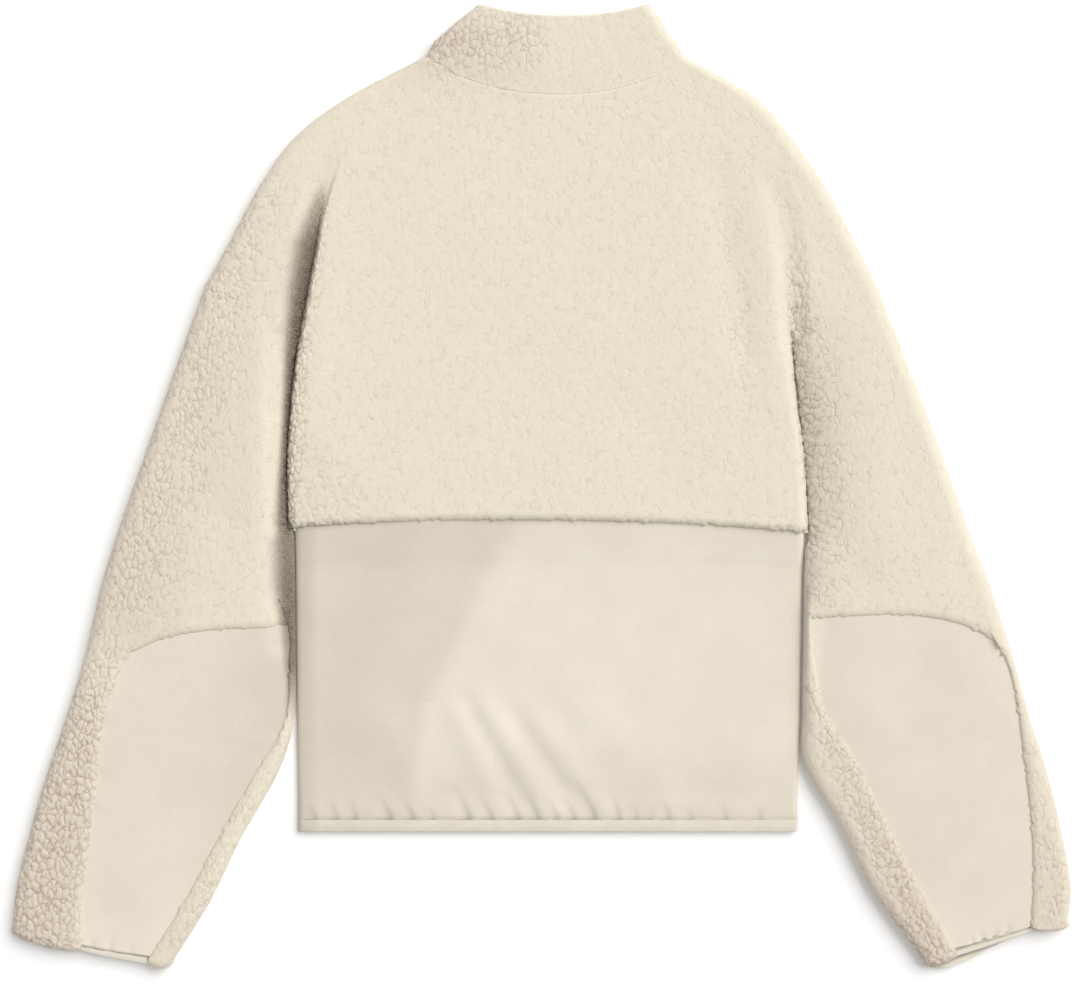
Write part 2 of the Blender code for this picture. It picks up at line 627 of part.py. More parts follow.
def hem_ring():
    """The binding below the woven band, on the band's own line."""
    row = BAND_ROWS[-1]
    folds = (row.fold, row.fold)
    sections = []
    for down, bulge in ((SEAM_GAP, 0), (HEM_BINDING_WIDTH / 2, BAND_BULGE), (HEM_BINDING_WIDTH, 0)):
        path = sagging(row.left, row.right, row.sag) - (0, down)
        upper = (path, torso_distances(0, length_of(path), *folds, BAND_MIDDLE // 3))
        lower = (path, torso_distances(0, length_of(path), *folds, FRONT_MIDDLE))
        top_z = BAND_TOP_Z + bulge
        sections.append(ring_section(upper, lower, folds, row.seam_z, top_z, 0, BINDING_WALL))
    return stacked(sections)


# ---- from tubes to solids ----


def drawn_back(tube, cells, closed):
    """The tube's points with those on the piece's cut edges moved into it by half a seam gap."""
    rows, columns = tube.outer.shape[:2]
    plan = tube.outer[:, :, :2]
    normals = np.zeros((rows, columns, 2))
    counts = np.zeros((rows, columns))

    def cell(i, j):
        if not 0 <= i < cells.shape[0]:
            return False
        if closed:
            return cells[i, j % cells.shape[1]]
        return 0 <= j < cells.shape[1] and cells[i, j]

    def note(a, b, inwards):
        run = plan[b] - plan[a]
        size = np.linalg.norm(run)
        if size < NO_LENGTH:
            return
        normal = np.array([-run[1], run[0]]) / size
        if normal @ (inwards - plan[a]) < 0:
            normal = -normal
        for corner in (a, b):
            normals[corner] += normal
            counts[corner] += 1

    for i in range(rows):
        for j in range(columns if closed else columns - 1):
            k = (j + 1) % columns
            if 0 < i < rows - 1 and cell(i - 1, j) != cell(i, j):
                inside = i + 1 if cell(i, j) else i - 1
                note((i, j), (i, k), (plan[inside, j] + plan[inside, k]) / 2)
    for i in range(rows - 1):
        for j in range(columns):
            if cell(i, j - 1) != cell(i, j) and (closed or 0 < j < columns - 1):
                inside = (j + 1) % columns if cell(i, j) else (j - 1) % columns
                note((i, j), (i + 1, j), (plan[i, inside] + plan[i + 1, inside]) / 2)
    lengths = np.linalg.norm(normals, axis=2)
    cut = lengths > NO_LENGTH
    shift = np.zeros_like(normals)
    shift[cut] = normals[cut] * (counts[cut] / lengths[cut] ** 2)[:, None] * SEAM_GAP / 2
    outer, inner = tube.outer.copy(), tube.inner.copy()
    outer[:, :, :2] += shift
    inner[:, :, :2] += shift
    return Tube(outer, inner)


def solid(name, tube, paint, cells=None, closed=False):
    """One cut piece as a closed wall over the tube's cells."""
    rows, columns = tube.outer.shape[:2]
    if cells is None:
        cells = np.ones((rows - 1, columns if closed else columns - 1), bool)
    else:
        tube = drawn_back(tube, cells, closed)
    offset = rows * columns
    points = np.concatenate([tube.outer.reshape(-1, 3), tube.inner.reshape(-1, 3)])
    faces = []
    edges = {}
    for i, j in zip(*np.nonzero(cells)):
        k = (j + 1) % columns
        corners = (i * columns + j, i * columns + k, (i + 1) * columns + k, (i + 1) * columns + j)
        faces.append(corners)
        faces.append(tuple(offset + corner for corner in reversed(corners)))
        for a, b in zip(corners, corners[1:] + corners[:1]):
            if (b, a) in edges:
                del edges[(b, a)]
            else:
                edges[(a, b)] = True
    faces += [(b, a, offset + a, offset + b) for a, b in edges]
    used = np.unique(np.array(faces))
    place = {int(old): new for new, old in enumerate(used)}
    mesh = bpy.data.meshes.new(name)
    kept = (points[used] - CENTRE) * MM
    mesh.from_pydata(kept.tolist(), [], [[place[int(corner)] for corner in face] for face in faces])
    face_outwards(mesh)
    mesh.shade_smooth()
    mesh.set_sharp_from_angle(angle=np.radians(SHARP_ANGLE))
    piece = bpy.data.objects.new(name, mesh)
    mesh.materials.append(material(name, paint))
    bpy.context.scene.collection.objects.link(piece)


def face_outwards(mesh):
    edited = bmesh.new()
    edited.from_mesh(mesh)
    bmesh.ops.recalc_face_normals(edited, faces=edited.faces)
    edited.to_mesh(mesh)
    edited.free()


def material(name, paint):
    made = bpy.data.materials.new(f"{paint.name}_{name}")
    made.use_nodes = True
    surface = made.node_tree.nodes["Principled BSDF"]
    surface.inputs["Base Color"].default_value = paint.colour
    surface.inputs["Roughness"].default_value = paint.roughness
    surface.inputs["Metallic"].default_value = 0
    return made


def footprint_centre(tubes):
    points = np.concatenate([tube.outer.reshape(-1, 3) for tube in tubes])
    middle = (points.min(axis=0) + points.max(axis=0)) / 2
    return np.array([middle[0], middle[1], 0])


for obj in list(bpy.data.objects):
    bpy.data.objects.remove(obj)

back, body_cells = body_upper(YOKE_MIDDLE, True)
front, front_cells = body_upper(FRONT_MIDDLE, False)
back_band = band_layer(BAND_MIDDLE, True)
front_band = band_layer(FRONT_MIDDLE, False)
collar = collar_ring()
hem = hem_ring()
armhole = SHOULDER_ROWS[-1]
left_pile, left_shell = sleeve_tubes(
    LEFT, LEFT_SLEEVE_ROWS, (armhole.edge_left, armhole.crease_left), LEFT_SLEEVE_FOLDS
)
right_pile, right_shell = sleeve_tubes(
    RIGHT, RIGHT_SLEEVE_ROWS, (armhole.edge_right, armhole.crease_right), RIGHT_SLEEVE_FOLDS
)
left_cuff = cuff_binding(left_pile, LEFT_SLEEVE_ROWS)
right_cuff = cuff_binding(right_pile, RIGHT_SLEEVE_ROWS)
CENTRE = footprint_centre([collar, left_pile, right_pile, left_cuff, right_cuff])

solid("back_yoke", back, SHERPA, body_cells)
solid("front_upper", front, SHERPA, front_cells)
solid("back_lower", back_band, WOVEN)
solid("front_lower", front_band, WOVEN)
solid("collar", collar, SHERPA, closed=True)
solid("hem_binding", hem, BINDING, closed=True)
for side, pile, shell, cuff, table in (
    (LEFT, left_pile, left_shell, left_cuff, LEFT_SLEEVE_ROWS),
    (RIGHT, right_pile, right_shell, right_cuff, RIGHT_SLEEVE_ROWS),
):
    sherpa_cells, panel_cells = sleeve_cells(pile, table)
    solid(f"sleeve_{side.name}", pile, SHERPA, sherpa_cells, closed=True)
    solid(f"forearm_panel_{side.name}", shell, WOVEN, panel_cells, closed=True)
    solid(f"cuff_binding_{side.name}", cuff, BINDING, closed=True)
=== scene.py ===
"""Looks of a sherpa fleece pullover that lies flat on its front, with its back up.

The tables are those of the solids, in millimetres: x across from the garment's centre line, y up
from the lower edge of the hem binding, z up from the floor. Each cut piece is worked out from
them again at a fine spacing, as a sheet with rounded cut edges. The sherpa pieces get their curls
as relief along their normals, from a cell pattern that their material repeats in finer detail.
"""

from collections import namedtuple

import bpy
import numpy as np
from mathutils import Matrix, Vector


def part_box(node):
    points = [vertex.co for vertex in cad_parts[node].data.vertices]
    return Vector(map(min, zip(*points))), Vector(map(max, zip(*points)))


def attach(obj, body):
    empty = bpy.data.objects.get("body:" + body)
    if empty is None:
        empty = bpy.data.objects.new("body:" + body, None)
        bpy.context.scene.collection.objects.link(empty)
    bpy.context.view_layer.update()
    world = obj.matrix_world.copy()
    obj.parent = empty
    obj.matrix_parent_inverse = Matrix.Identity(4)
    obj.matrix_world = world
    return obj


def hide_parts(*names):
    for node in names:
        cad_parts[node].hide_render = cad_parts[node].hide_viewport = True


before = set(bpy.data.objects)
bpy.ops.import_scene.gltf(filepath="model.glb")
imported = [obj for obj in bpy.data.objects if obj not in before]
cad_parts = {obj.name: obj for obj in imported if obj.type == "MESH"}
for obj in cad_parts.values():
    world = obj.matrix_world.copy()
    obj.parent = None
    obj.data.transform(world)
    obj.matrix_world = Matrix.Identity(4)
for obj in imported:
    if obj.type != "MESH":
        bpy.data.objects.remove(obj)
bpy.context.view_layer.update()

MM = 0.001  # in the frame's metres

# The hem binding's middle and lower edge in the tables, which place them in the frame.
HEM_MIDDLE_X = 1.5
HEM_FOOT_Y = 0.4

# Cloth
SHERPA_WALL = 7.5
WOVEN_WALL = 2.0
BINDING_WALL = 2.8
LEAST_SLIT = 0.5
SEAM_Z = 8.5  # height of the folded edge of a sherpa tube

# Spacing of the sheets' points
PILE_STEP = 1.4
UNDER_STEP = 3.2
WOVEN_STEP = 2.0
EDGE_MARKS = np.array([0, 0.5, 1.1, 1.8, 2.7, 3.9])  # distances from a cut edge
FOLD_TURNS = np.radians(np.linspace(0, 90, 12))
LIP_TURNS = np.radians(np.linspace(0, 90, 7)[1:])
PATH_POINTS = 49
PANEL_POINTS = 33
EDGE_STEP = 6  # columns from one point of the body's cut edges, as plan lines, to the next
SEAM_STEP = 3  # the same on a sleeve
# Least lengths to divide by, and differences that don't count
TINY = 1e-9
NEARLY = 1e-6


def rows_of(kind, *rows):
    """A table's rows from their plain values."""
    return tuple(kind(*row) for row in rows)


ShoulderRow = namedtuple(
    "ShoulderRow",
    "edge_left crease_left crease_right edge_right sag fold groove depth_left depth_right top_z",
)
SHOULDER_ROWS = rows_of(
    ShoulderRow,
    ((-93, 602), (-71, 588), (85, 586), (108, 601), 15, 6, 6, 0, 0, 16.6),
    ((-154, 570), (-122, 553), (122, 553), (162, 570), 10, 10, 11, 0, 0, 17),
    ((-195, 539), (-156, 525), (155, 525), (190, 539), 8, 11, 13, -0.5, 0, 17.2),
    ((-222, 502), (-172, 488), (178, 492), (216, 502), 6, 11, 14, 4.6, 1.2, 17.4),
    ((-243, 463), (-181, 444), (187, 444), (237, 463), 5, 11, 15, 8.2, 3, 17.4),
    ((-265, 423), (-191.5, 387), (190, 387), (257, 423), 3, 11, 15, 8.4, 4.5, 17.4),
)
TorsoRow = namedtuple("TorsoRow", "left right sag fold_left fold_right top_z")
TORSO_ROWS = rows_of(
    TorsoRow,
    ((-191.5, 387), (190, 387), 3, 5, 11, 17.4),
    ((-197.5, 336), (194.7, 336), 0, 5, 9, 17.4),
    ((-200.5, 285), (200.9, 285), -4, 6, 9, 17.2),
    ((-199.5, 236), (203.4, 232), -8, 6, 9, 17),
)
GROOVE_TO_FOLD = 0.5  # of a torso row below the armhole, the crease has become a folded edge
CREASE_SHARE = 0.8  # of a groove's width, over which columns are close together
# Shares of a groove's width on the sleeve's side of the crease and on the back's side
GROOVE_LEFT = (1.45, 0.26)
GROOVE_RIGHT = (1.2, 0.9)

BandRow = namedtuple("BandRow", "left right sag fold top_z under_z seam_z")
BAND_ROWS = rows_of(
    BandRow,
    ((-195, 236), (200.4, 232), -8, 6, 11.4, 4.6, 8.0),
    ((-195, 214), (200, 212), -5, 6, 8.4, 1.8, 5.2),
    ((-195, 190), (199.4, 190), -2, 5, 6.8, 0, 3.6),
    ((-194, 102), (198, 102), 0, 5, 6.6, 0, 3.4),
    ((-193, 34), (196, 34), 0, 4.5, 6.6, 0, 3.4),
    ((-193, 9), (196, 9), 0, 4, 6.4, 0, 3.3),
)
HEM_BINDING_WIDTH = 8.6
HEM_TOP_Z = 7.0
HEM_BULGE = 0.5
HEM_RIM = 0.9  # how far its lower rim rounds out
HEM_RINGS = 10
RIM_STEPS = 7

SleeveRow = namedtuple(
    "SleeveRow", "outer seam_out seam_in inner rise sag_out sag_in inner_fold top_z"
)
LEFT_SLEEVE_ROWS = rows_of(
    SleeveRow,
    ((-285, 367), (-256, 361), (-220, 349), (-198.1, 342), 0, 0, 0, 17, 17.6),
    ((-307, 305), (-274, 300), (-223, 293), (-201.4, 291), 0, 0, 0, 18, 17.4),
    ((-329, 243), (-297, 237), (-223, 233), (-200.9, 237), 0, 0, 0, 18, 17.2),
    ((-338, 215), (-306, 209), (-219, 210), (-196.4, 231), 0, 0, 0, 17, 17.1),
    ((-346, 188), (-314, 182), (-214, 188), (-196, 189), 4, 0, 0, 14, 17),
    ((-359, 133), (-328, 130), (-201, 159), (-195.8, 159), 13, 0, 0, 8, 17),
    ((-373, 87), (-343, 87), (-201.2, 91), (-195.5, 93), 2, 0, 0, 8, 16.8),
    ((-388, 43), (-348, 41), (-226, 45), (-207, 49), 0, 0, 0, 11, 16.6),
    ((-400, 2), (-353, -1), (-254, -4), (-237, -5), 0, 0, 0, 11, 16.4),
    ((-410, -38), (-359, -48), (-279, -51), (-261, -54), 0, 1, 1, 11, 16.2),
    ((-414, -72), (-360, -87), (-307, -96), (-288, -97), -1, 4, 4, 11, 16),
)
RIGHT_SLEEVE_ROWS = rows_of(
    SleeveRow,
    ((279, 367), (261, 363), (225, 351), (194.6, 344), 0, 0, 0, 20, 17.6),
    ((303, 305), (280, 300), (231, 294), (200.6, 291), 0, 0, 0, 24, 17.4),
    ((325, 243), (300, 237), (234, 231), (204.2, 234), 0, 0, 0, 24, 17.2),
    ((335, 216), (311, 211), (229, 209), (201.4, 219), 1, 0, 0, 19, 17.1),
    ((345, 190), (323, 188), (222, 188), (200.5, 188), 5, 0, 0, 13, 17),
    ((363, 133), (355, 135), (205.6, 166), (200.4, 166), 20, 0, 0, 8, 17),
    ((374, 93), (365, 94), (215, 100), (199.3, 96), 4, 0, 0, 9, 16.8),
    ((388, 49), (371, 48), (242, 53), (201, 52), 0, 0, 0, 12, 16.6),
    ((399, 5), (376, 2), (265, 5), (228, 4), 0, 0, 0, 11, 16.4),
    ((407, -40), (377, -42), (289, -41), (253, -46), 0, 1, 1, 11, 16.2),
    ((405, -68), (375, -73), (317, -90), (291, -98), -1, 3, 3, 11, 16),
)
PANEL_START = 6  # the sleeve row, the armhole being 0, where the forearm panel begins
SLEEVE_OUTER_FOLD = 11
STRIP_FOLD_SHARE = 0.85  # the most of a strip's width that its folded edge takes up
ARMHOLE_BLEND = 0.55  # table rows over which a sleeve takes on the back's form at the armhole
# Shares of the armhole's width at which the strips end in a sleeve's first row
ARMHOLE_SEAM_OUT = 0.32
ARMHOLE_SEAM_IN = 0.8
FOREARM_PANEL_DROP = 2.9  # how much lower it lies than the pile
PANEL_FOLD_SHARE = 0.6  # how much of the sleeve's folds it shows
PANEL_SHOULDER = 0.6  # below 1, a panel row rises most near its outer seam
# How a sleeve's first row is set off from the armhole, how far its lower layer reaches out at the
# cuff, and how much of the cuff's lip is left at the outer strip's seam
Side = namedtuple("Side", "name sense armhole_shift under_reach lip_at_seam")
LEFT = Side("left", 1, (-0.1, -0.12), 0, 1.0)
RIGHT = Side("right", -1, (0.1, -0.12), 7, 0.1)
ROW_SPAN = 45.0  # from one row of a sleeve to the next, where the forearm panel begins
ROW_CLEARANCE = 1.2  # how much of the seam's close rows' reach other rows keep away from it
CUFF_REACH_ROWS = 1.5  # table rows over which the lower layer comes to reach past the upper one
REACH_SKEW = 2.4  # above 1, it reaches out most near the inner edge
CUFF_BINDING_WIDTH = 4.5
CUFF_BINDING_BULGE = 0.4
CUFF_BINDING_FOLD = 6
CUFF_INSET = 4.5  # how far in from the sleeve's folded edges it lies
CUFF_BINDING_TOP = 11.4  # heights of its outer faces
CUFF_BINDING_UNDER = 4.0
CUFF_RIM = 0.8
CUFF_RINGS = 9
CUFF_WIDEN = (0.45, 1.5)  # shares of its width at the outer and at the inner edge
LIP = 6.2  # how far the strips' pile hangs over the cuff binding
LIP_DROP = 0.45  # share of its height that it loses there

CollarRow = namedtuple("CollarRow", "left right sag fold top_z")
COLLAR_ROWS = rows_of(
    CollarRow,
    ((-93, 602), (108, 601), 0, 6, 16.6),
    ((-87, 613), (100, 614), 27, 8, 17.2),
    ((-77, 622), (93, 623), 22, 8, 17.2),
    ((-64, 633), (88, 632), 16, 8, 16.8),
    ((-55, 640), (82, 640), 9, 8, 16.4),
)
NECK_POWER = 2.2  # above 2, a hanging row is flatter in its middle than a parabola
COLLAR_RIM = 2.0
COLLAR_BLIND = 0.5  # share of its inside, from the neck seam on, that isn't built

# Soft ridges (height over 0) and troughs (under 0), each along a line.
Fold = namedtuple("Fold", "x0 y0 x1 y1 width height")
YOKE_FOLDS = rows_of(
    Fold,
    (-168, 470, -182, 300, 16, 1.0), (132, 508, 152, 375, 13, -1.5),
    (166, 480, 178, 330, 12, 1.0), (60, 330, 120, 250, 30, -0.7), (-60, 480, 20, 400, 36, 0.6),
    (-120, 330, -150, 255, 20, -0.8),
)
BAND_FOLDS = rows_of(
    Fold,
    (-60, 222, -112, 110, 22, -1.0), (-70, 92, -42, 30, 11, 1.4), (-46, 94, 2, 16, 10, 1.6),
    (-8, 84, 42, 20, 12, 1.4), (-62, 100, -18, 22, 8, -1.0), (-24, 90, 24, 18, 8, -1.0),
    (20, 110, 96, 24, 18, 0.9), (120, 190, 150, 60, 30, 0.8), (-84, 230, -134, 90, 34, 2.0),
    (-160, 200, -170, 60, 30, -1.2), (-120, 80, -96, 18, 12, 0.9),
)
LEFT_SLEEVE_FOLDS = rows_of(
    Fold,
    (-268, 424, -234, 412, 6, -2.2), (-203, 384, -206, 330, 9, -6.0),
    (-207, 320, -208, 240, 7, -3.6), (-204, 222, -203, 146, 10, -5.5),
    (-220, 400, -226, 250, 12, 1.0), (-276, 352, -268, 262, 22, -1.4),
    (-300, 282, -322, 180, 24, 0.8), (-246, 240, -262, 170, 16, -0.8),
    (-300, 120, -330, -40, 22, 0.6),
)
RIGHT_SLEEVE_FOLDS = rows_of(
    Fold,
    (212, 390, 224, 230, 14, -1.4), (252, 380, 268, 230, 22, 1.0), (290, 320, 312, 190, 20, 0.6),
    (240, 200, 300, 120, 18, -0.7), (330, 100, 330, -30, 22, 0.6),
)
Gather = namedtuple("Gather", "x lean reach width depth")
GATHERS = rows_of(
    Gather,
    (-181, -4, 13, 5, 1.2), (-164, -5, 15, 5, 1.3), (-149, -5, 16, 5, 1.4),
    (-122, -10, 20, 6, 1.6), (-104, -8, 16, 5, 1.4), (-88, -6, 12, 5, 1.0),
    (-61, -11, 24, 6, 1.8), (-43, -9, 17, 5, 1.3), (-23, -12, 24, 6, 1.8), (-7, -9, 20, 5, 1.4),
    (8, -9, 17, 5, 1.4), (21, -9, 18, 5, 1.4), (37, -16, 30, 6, 1.9), (56, -6, 20, 5, 1.5),
    (70, -4, 12, 5, 1.0), (80, 4, 12, 5, 1.0), (95, -5, 15, 5, 1.4), (112, -4, 12, 5, 1.0),
    (139, -4, 14, 5, 1.1), (166, -4, 12, 5, 0.9),
)
ROLL_HEIGHT = 0.9
ROLL_UP = 8
ROLL_WIDTH = 9
GATHER_LEFT = 1.25  # share of a gather's width on its gentle left bank
GATHER_RIGHT = 0.5  # and on its steep right one
GATHER_BEND = 1.3  # power of the height by which it leans over
GATHER_FADE = 0.7  # and by which it fades upwards

# Cut edges of the pile: how far in they start to sink, and how deep
Edge = namedtuple("Edge", "width depth")
YOKE_EDGE = Edge(6.0, 5.0)
PANEL_EDGE = Edge(7.0, 3.1)
NECK_EDGE = Edge(3.0, 1.1)
PILE_SEAM = Edge(0.6, 0.1)
# Curls that hang unevenly over a seam: how far, from how far off, and their sizes and phases.
# They come and go in patches of the last sizes, across and up.
RAGGED_DEPTH = 0.55
RAGGED_REACH = 3.5
RAGGED = ((0.9, 0.3), (1.45, 2.1), (3.1, 4.4))
RAGGED_PATCH = (8.5, 6.5)
SKIRT = 3.0  # how far a cut edge goes on down
SKIRT_LEAN = 0.35  # how much of the face's own slant it keeps

# Curls, as cells of a pattern. A noise is given by its size and detail, and its roughness.
CURL_SIZE = 4.9
CURL_DEPTH = 1.5
CURL_TIP = 0.82  # share of the relief that lies under the solid's face
CURL_UNEVEN = 0.25  # how much higher some curls stand than others
CURL_STRETCH = 0.7  # curls are longer up the garment than across it
CURL_BENDS = (  # the crevices' broad and fine bends: a noise, and how far it moves them
    ((7.5, 1.5), 4.2),
    ((2.6, 1.0), 2.2),
)
CURL_BANK = 0.26  # how far, in cells, a curl slopes from its crevice to its top
CREVICE_BANK = 0.13  # and how far its shade reaches
VALLEY_SHADE_SWELL = 0.7
VALLEY_SHADE_BEADS = 0.2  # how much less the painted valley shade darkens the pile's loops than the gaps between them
# Crevices come and go in patches, and darken and fade along themselves. For each of these, a
# noise, and its span: the noise's values at the least and at the most, and that least and most.
PATCH_NOISE = (6.0, 2.0)
PATCH_SPAN = (0.48, 0.7, 0.12, 1.0)
PATCH_LOFT = 0.32  # how much more of them there are where the curls stand up
CREVICE_NOISE = (2.2, 2.0)
CREVICE_SPAN = (0.3, 0.62, 0.25, 1.0)
LOOP_SIZE = 1.5
LOOP_SPAN = (0.0, 0.3)
FLOOR_CLEARANCE = 0.1
FAR = 10.0  # metres, beyond the garment

# Strips along lines of knots, each with its reach to the left and to the right of the line
Knot = namedtuple("Knot", "x y left right amount")


def strips_of(*strips):
    """Strips from the plain values of their knots."""
    return tuple(rows_of(Knot, *strip) for strip in strips)


# How far the curls stand up, from 0 to 1
LOFT_LEAST = 0.18
LOFTS = strips_of(
    ((-174, 486, 9, 11, 0.5), (-191, 387, 11, 11, 0.9), (-201, 240, 7, 13, 1.0)),
    ((-178, 290, 20, 44, 0.3), (-176, 246, 20, 60, 0.42)),
    ((-235, 490, 30, 40, 0.55), (-325, 190, 40, 50, 0.6)),
    ((-340, 150, 40, 30, 0.5), (-362, 80, 40, 40, 0.9), (-394, -75, 40, 40, 1.0)),
    ((-200, 80, 22, 22, 0.3), (-275, -85, 22, 22, 0.62)),
    ((138, 508, 18, 10, 0.2), (152, 400, 20, 10, 0.4), (158, 300, 18, 10, 0.25)),
    (
        (186, 480, 2, 18, 0.3), (189, 400, 2, 24, 0.8), (195, 336, 2, 28, 0.95),
        (203, 250, 2, 34, 0.75), (202, 185, 2, 40, 0.5),
    ),
    ((205, 110, 20, 20, 0.5), (300, -95, 24, 20, 0.85)),
    ((372, 110, 16, 20, 0.3), (400, -60, 20, 20, 0.5)),
    ((-76, 612, 30, 28, 0.8), (-22, 614, 28, 30, 0.7)),
    ((-92, 596, 10, 10, 0.4), (-30, 575, 10, 10, 0.3)),
    ((-198, 238, 5, 5, 0.7), (203, 234, 5, 5, 0.6)),
)
# Painted shade in the valleys beside the body: how far the pile's colour is darkened there. The
# same mask swells the curls a little.
PAINTED_VALLEY_SHADE = strips_of(
    (
        (-170, 502, 6, 2, 0.1), (-173, 490, 8, 2, 0.55), (-176.5, 468, 13, 2, 0.8),
        (-178, 455, 17, 1.5, 0.95), (-185.6, 414, 15.5, 1.5, 1), (-191.5, 383, 11, 1.5, 1),
        (-197.5, 336, 6.5, 1.5, 1), (-200.5, 300, 5.5, 1.5, 1), (-201, 265, 7.5, 1.5, 1),
        (-200.5, 238, 9.5, 1.5, 0.95), (-197, 228, 15, 1.5, 0.85), (-196, 190, 15, 1.5, 0.95),
        (-196, 165, 11, 1.5, 0.98), (-196, 130, 8, 1.5, 0.95), (-196, 108, 5, 1.5, 0.6),
        (-196, 88, 3, 1.5, 0.1),
    ),
    (
        (187, 440, 3, 14, 0.0), (189, 395, 2, 22, 0.08), (195, 336, 2, 24, 0.13),
        (202, 285, 2, 24, 0.1), (204, 240, 2, 26, 0.06), (202, 190, 2, 26, 0.03),
    ),
    ((201.5, 168, 2, 4, 0.12), (201, 128, 2, 4, 0.12)),
)
# Painted shade: how far the pile lies turned from the light, painted into its colour as a duller,
# rosier tone
PAINTED_ROSY_SHADE = strips_of(
    ((-345, 130, 44, 30, 0.3), (-362, 80, 44, 40, 0.8), (-394, -75, 44, 40, 1.0)),
    ((-240, 480, 44, 44, 0.3), (-330, 190, 66, 66, 0.75)),
    ((-80, 612, 34, 30, 0.9), (-40, 606, 34, 36, 0.5)),
    ((-190, 300, 6, 26, 0.2), (-190, 240, 8, 60, 0.35)),
    ((196, 400, 2, 26, 0.4), (202, 330, 2, 34, 0.7), (206, 190, 2, 50, 0.4)),
    ((225, 90, 40, 30, 0.6), (300, -95, 40, 30, 1.0)),
    ((-250, -30, 20, 20, 0.1), (-285, -100, 20, 20, 0.6)),
    (
        (340, 200, 8, 30, 0.15), (372, 100, 16, 30, 0.4), (392, 20, 20, 20, 0.4),
        (395, -75, 30, 20, 0.65),
    ),
)
# Painted shade: places where the woven cloth or a binding is painted darker, in its creases, beside
# the pile, along seams and where it is turned from the light
PAINTED_CLOTH_SHADE = strips_of(
    (
        (-44, 250, 170, 16, 0.13), (-62, 215, 170, 16, 0.15), (-110, 105, 170, 16, 0.16),
        (-116, 0, 170, 16, 0.15),
    ),
    ((-202, 230, 2, 26, 0.32), (-200, 0, 2, 26, 0.3)),
    ((-190, 20, 36, 36, 0.11), (190, 20, 30, 30, 0.08)),
    ((-193, 10.3, 1.7, 1.7, 0.26), (0, 10.4, 1.7, 1.7, 0.24), (196, 10.3, 1.7, 1.7, 0.16)),
    ((-290, 150, 50, 60, 0.06), (-330, -20, 50, 60, 0.06)),
    ((290, 150, 60, 50, 0.06), (345, -20, 60, 50, 0.06)),
    ((-196, 165, 11, 1, 0.72), (-196, 130, 8, 1, 0.65), (-196, 100, 5, 1, 0.15)),
    ((-190, 34, 34, 30, 0.06), (190, 34, 30, 30, 0.065)),
    ((338, -83.4, 0.9, 0.9, 0.5), (341, -82.5, 0.9, 0.9, 0.5)),
    ((346.5, -81, 0.9, 0.9, 0.5), (348.5, -80.3, 0.9, 0.9, 0.5)),
    ((356, -78, 0.8, 0.8, 0.4), (358, -77.4, 0.8, 0.8, 0.4)),
    ((170, 220, 40, 30, 0.03), (170, 40, 40, 30, 0.03)),
    ((-193, 1.0, 3, 3, 0.03), (196, 1.0, 3, 3, 0.06)),
    ((-360, -88, 1.3, 1.3, 0.4), (-333, -92.5, 1.2, 1.2, 0.25), (-307, -97, 1.3, 1.3, 0.45)),
    ((375, -74, 1.1, 1.1, 0.2), (346, -83, 1.2, 1.2, 0.3), (317, -91, 1.5, 1.5, 0.55)),
    ((300, -104.2, 1.7, 1.7, 0.5), (320.5, -97.4, 1.7, 1.7, 0.5), (366, -81.5, 0.9, 0.9, 0.2)),
    (
        (222, 160, 6, 44, 0.08), (215, 100, 6, 44, 0.09), (265, 5, 6, 44, 0.09),
        (289, -41, 6, 44, 0.07),
    ),
)
LOFT_POWER = 2.0
SHADE_POWER = 4.0

# Colours of the pile, and the colours of its painted shade: in the crevices, in the valleys beside
# the body and where it is turned from the light
PILE_CREVICE_SHADE_COLOUR = (0.50, 0.40, 0.33)
PILE_DARK = (0.787, 0.727, 0.596)
PILE_LIGHT = (0.817, 0.759, 0.625)
PILE_BROAD = (0.802, 0.74, 0.61)
PILE_VALLEY_SHADE_COLOUR = (0.15, 0.12, 0.088)
PILE_ROSY_SHADE_COLOUR = (0.70, 0.615, 0.52)
LOFT_SPAN = (0.1, 1.0)  # over which crevices and bumps go from their least to their most
# How much painted shade the crevices get where the curls lie flattest and where they stand up most
CREVICE_SHADES = (0.2, 0.68)
BUMP_SHARES = (0.35, 1.0)
BROAD_SPAN = (0.3, 0.7)
PILE_BROAD_SHARES = (0.0, 0.5)
PILE_BROAD_NOISE = (46.0, 2.0)
FUZZ_NOISE = (0.7, 3.0, 0.7)
# Heights in the bump. A bump is given by its strength and depth.
LOOP_BUMP = 0.5
FUZZ_BUMP = 0.5
CREVICE_BUMP = -0.7
PILE_BUMP = (0.6, 0.5)
PILE_SURFACE = {
    "Roughness": 1.0,
    "Specular IOR Level": 0.05,
    "Sheen Weight": 0.15,
    "Sheen Roughness": 0.6,
    "Sheen Tint": (1.0, 0.96, 0.88, 1),
}

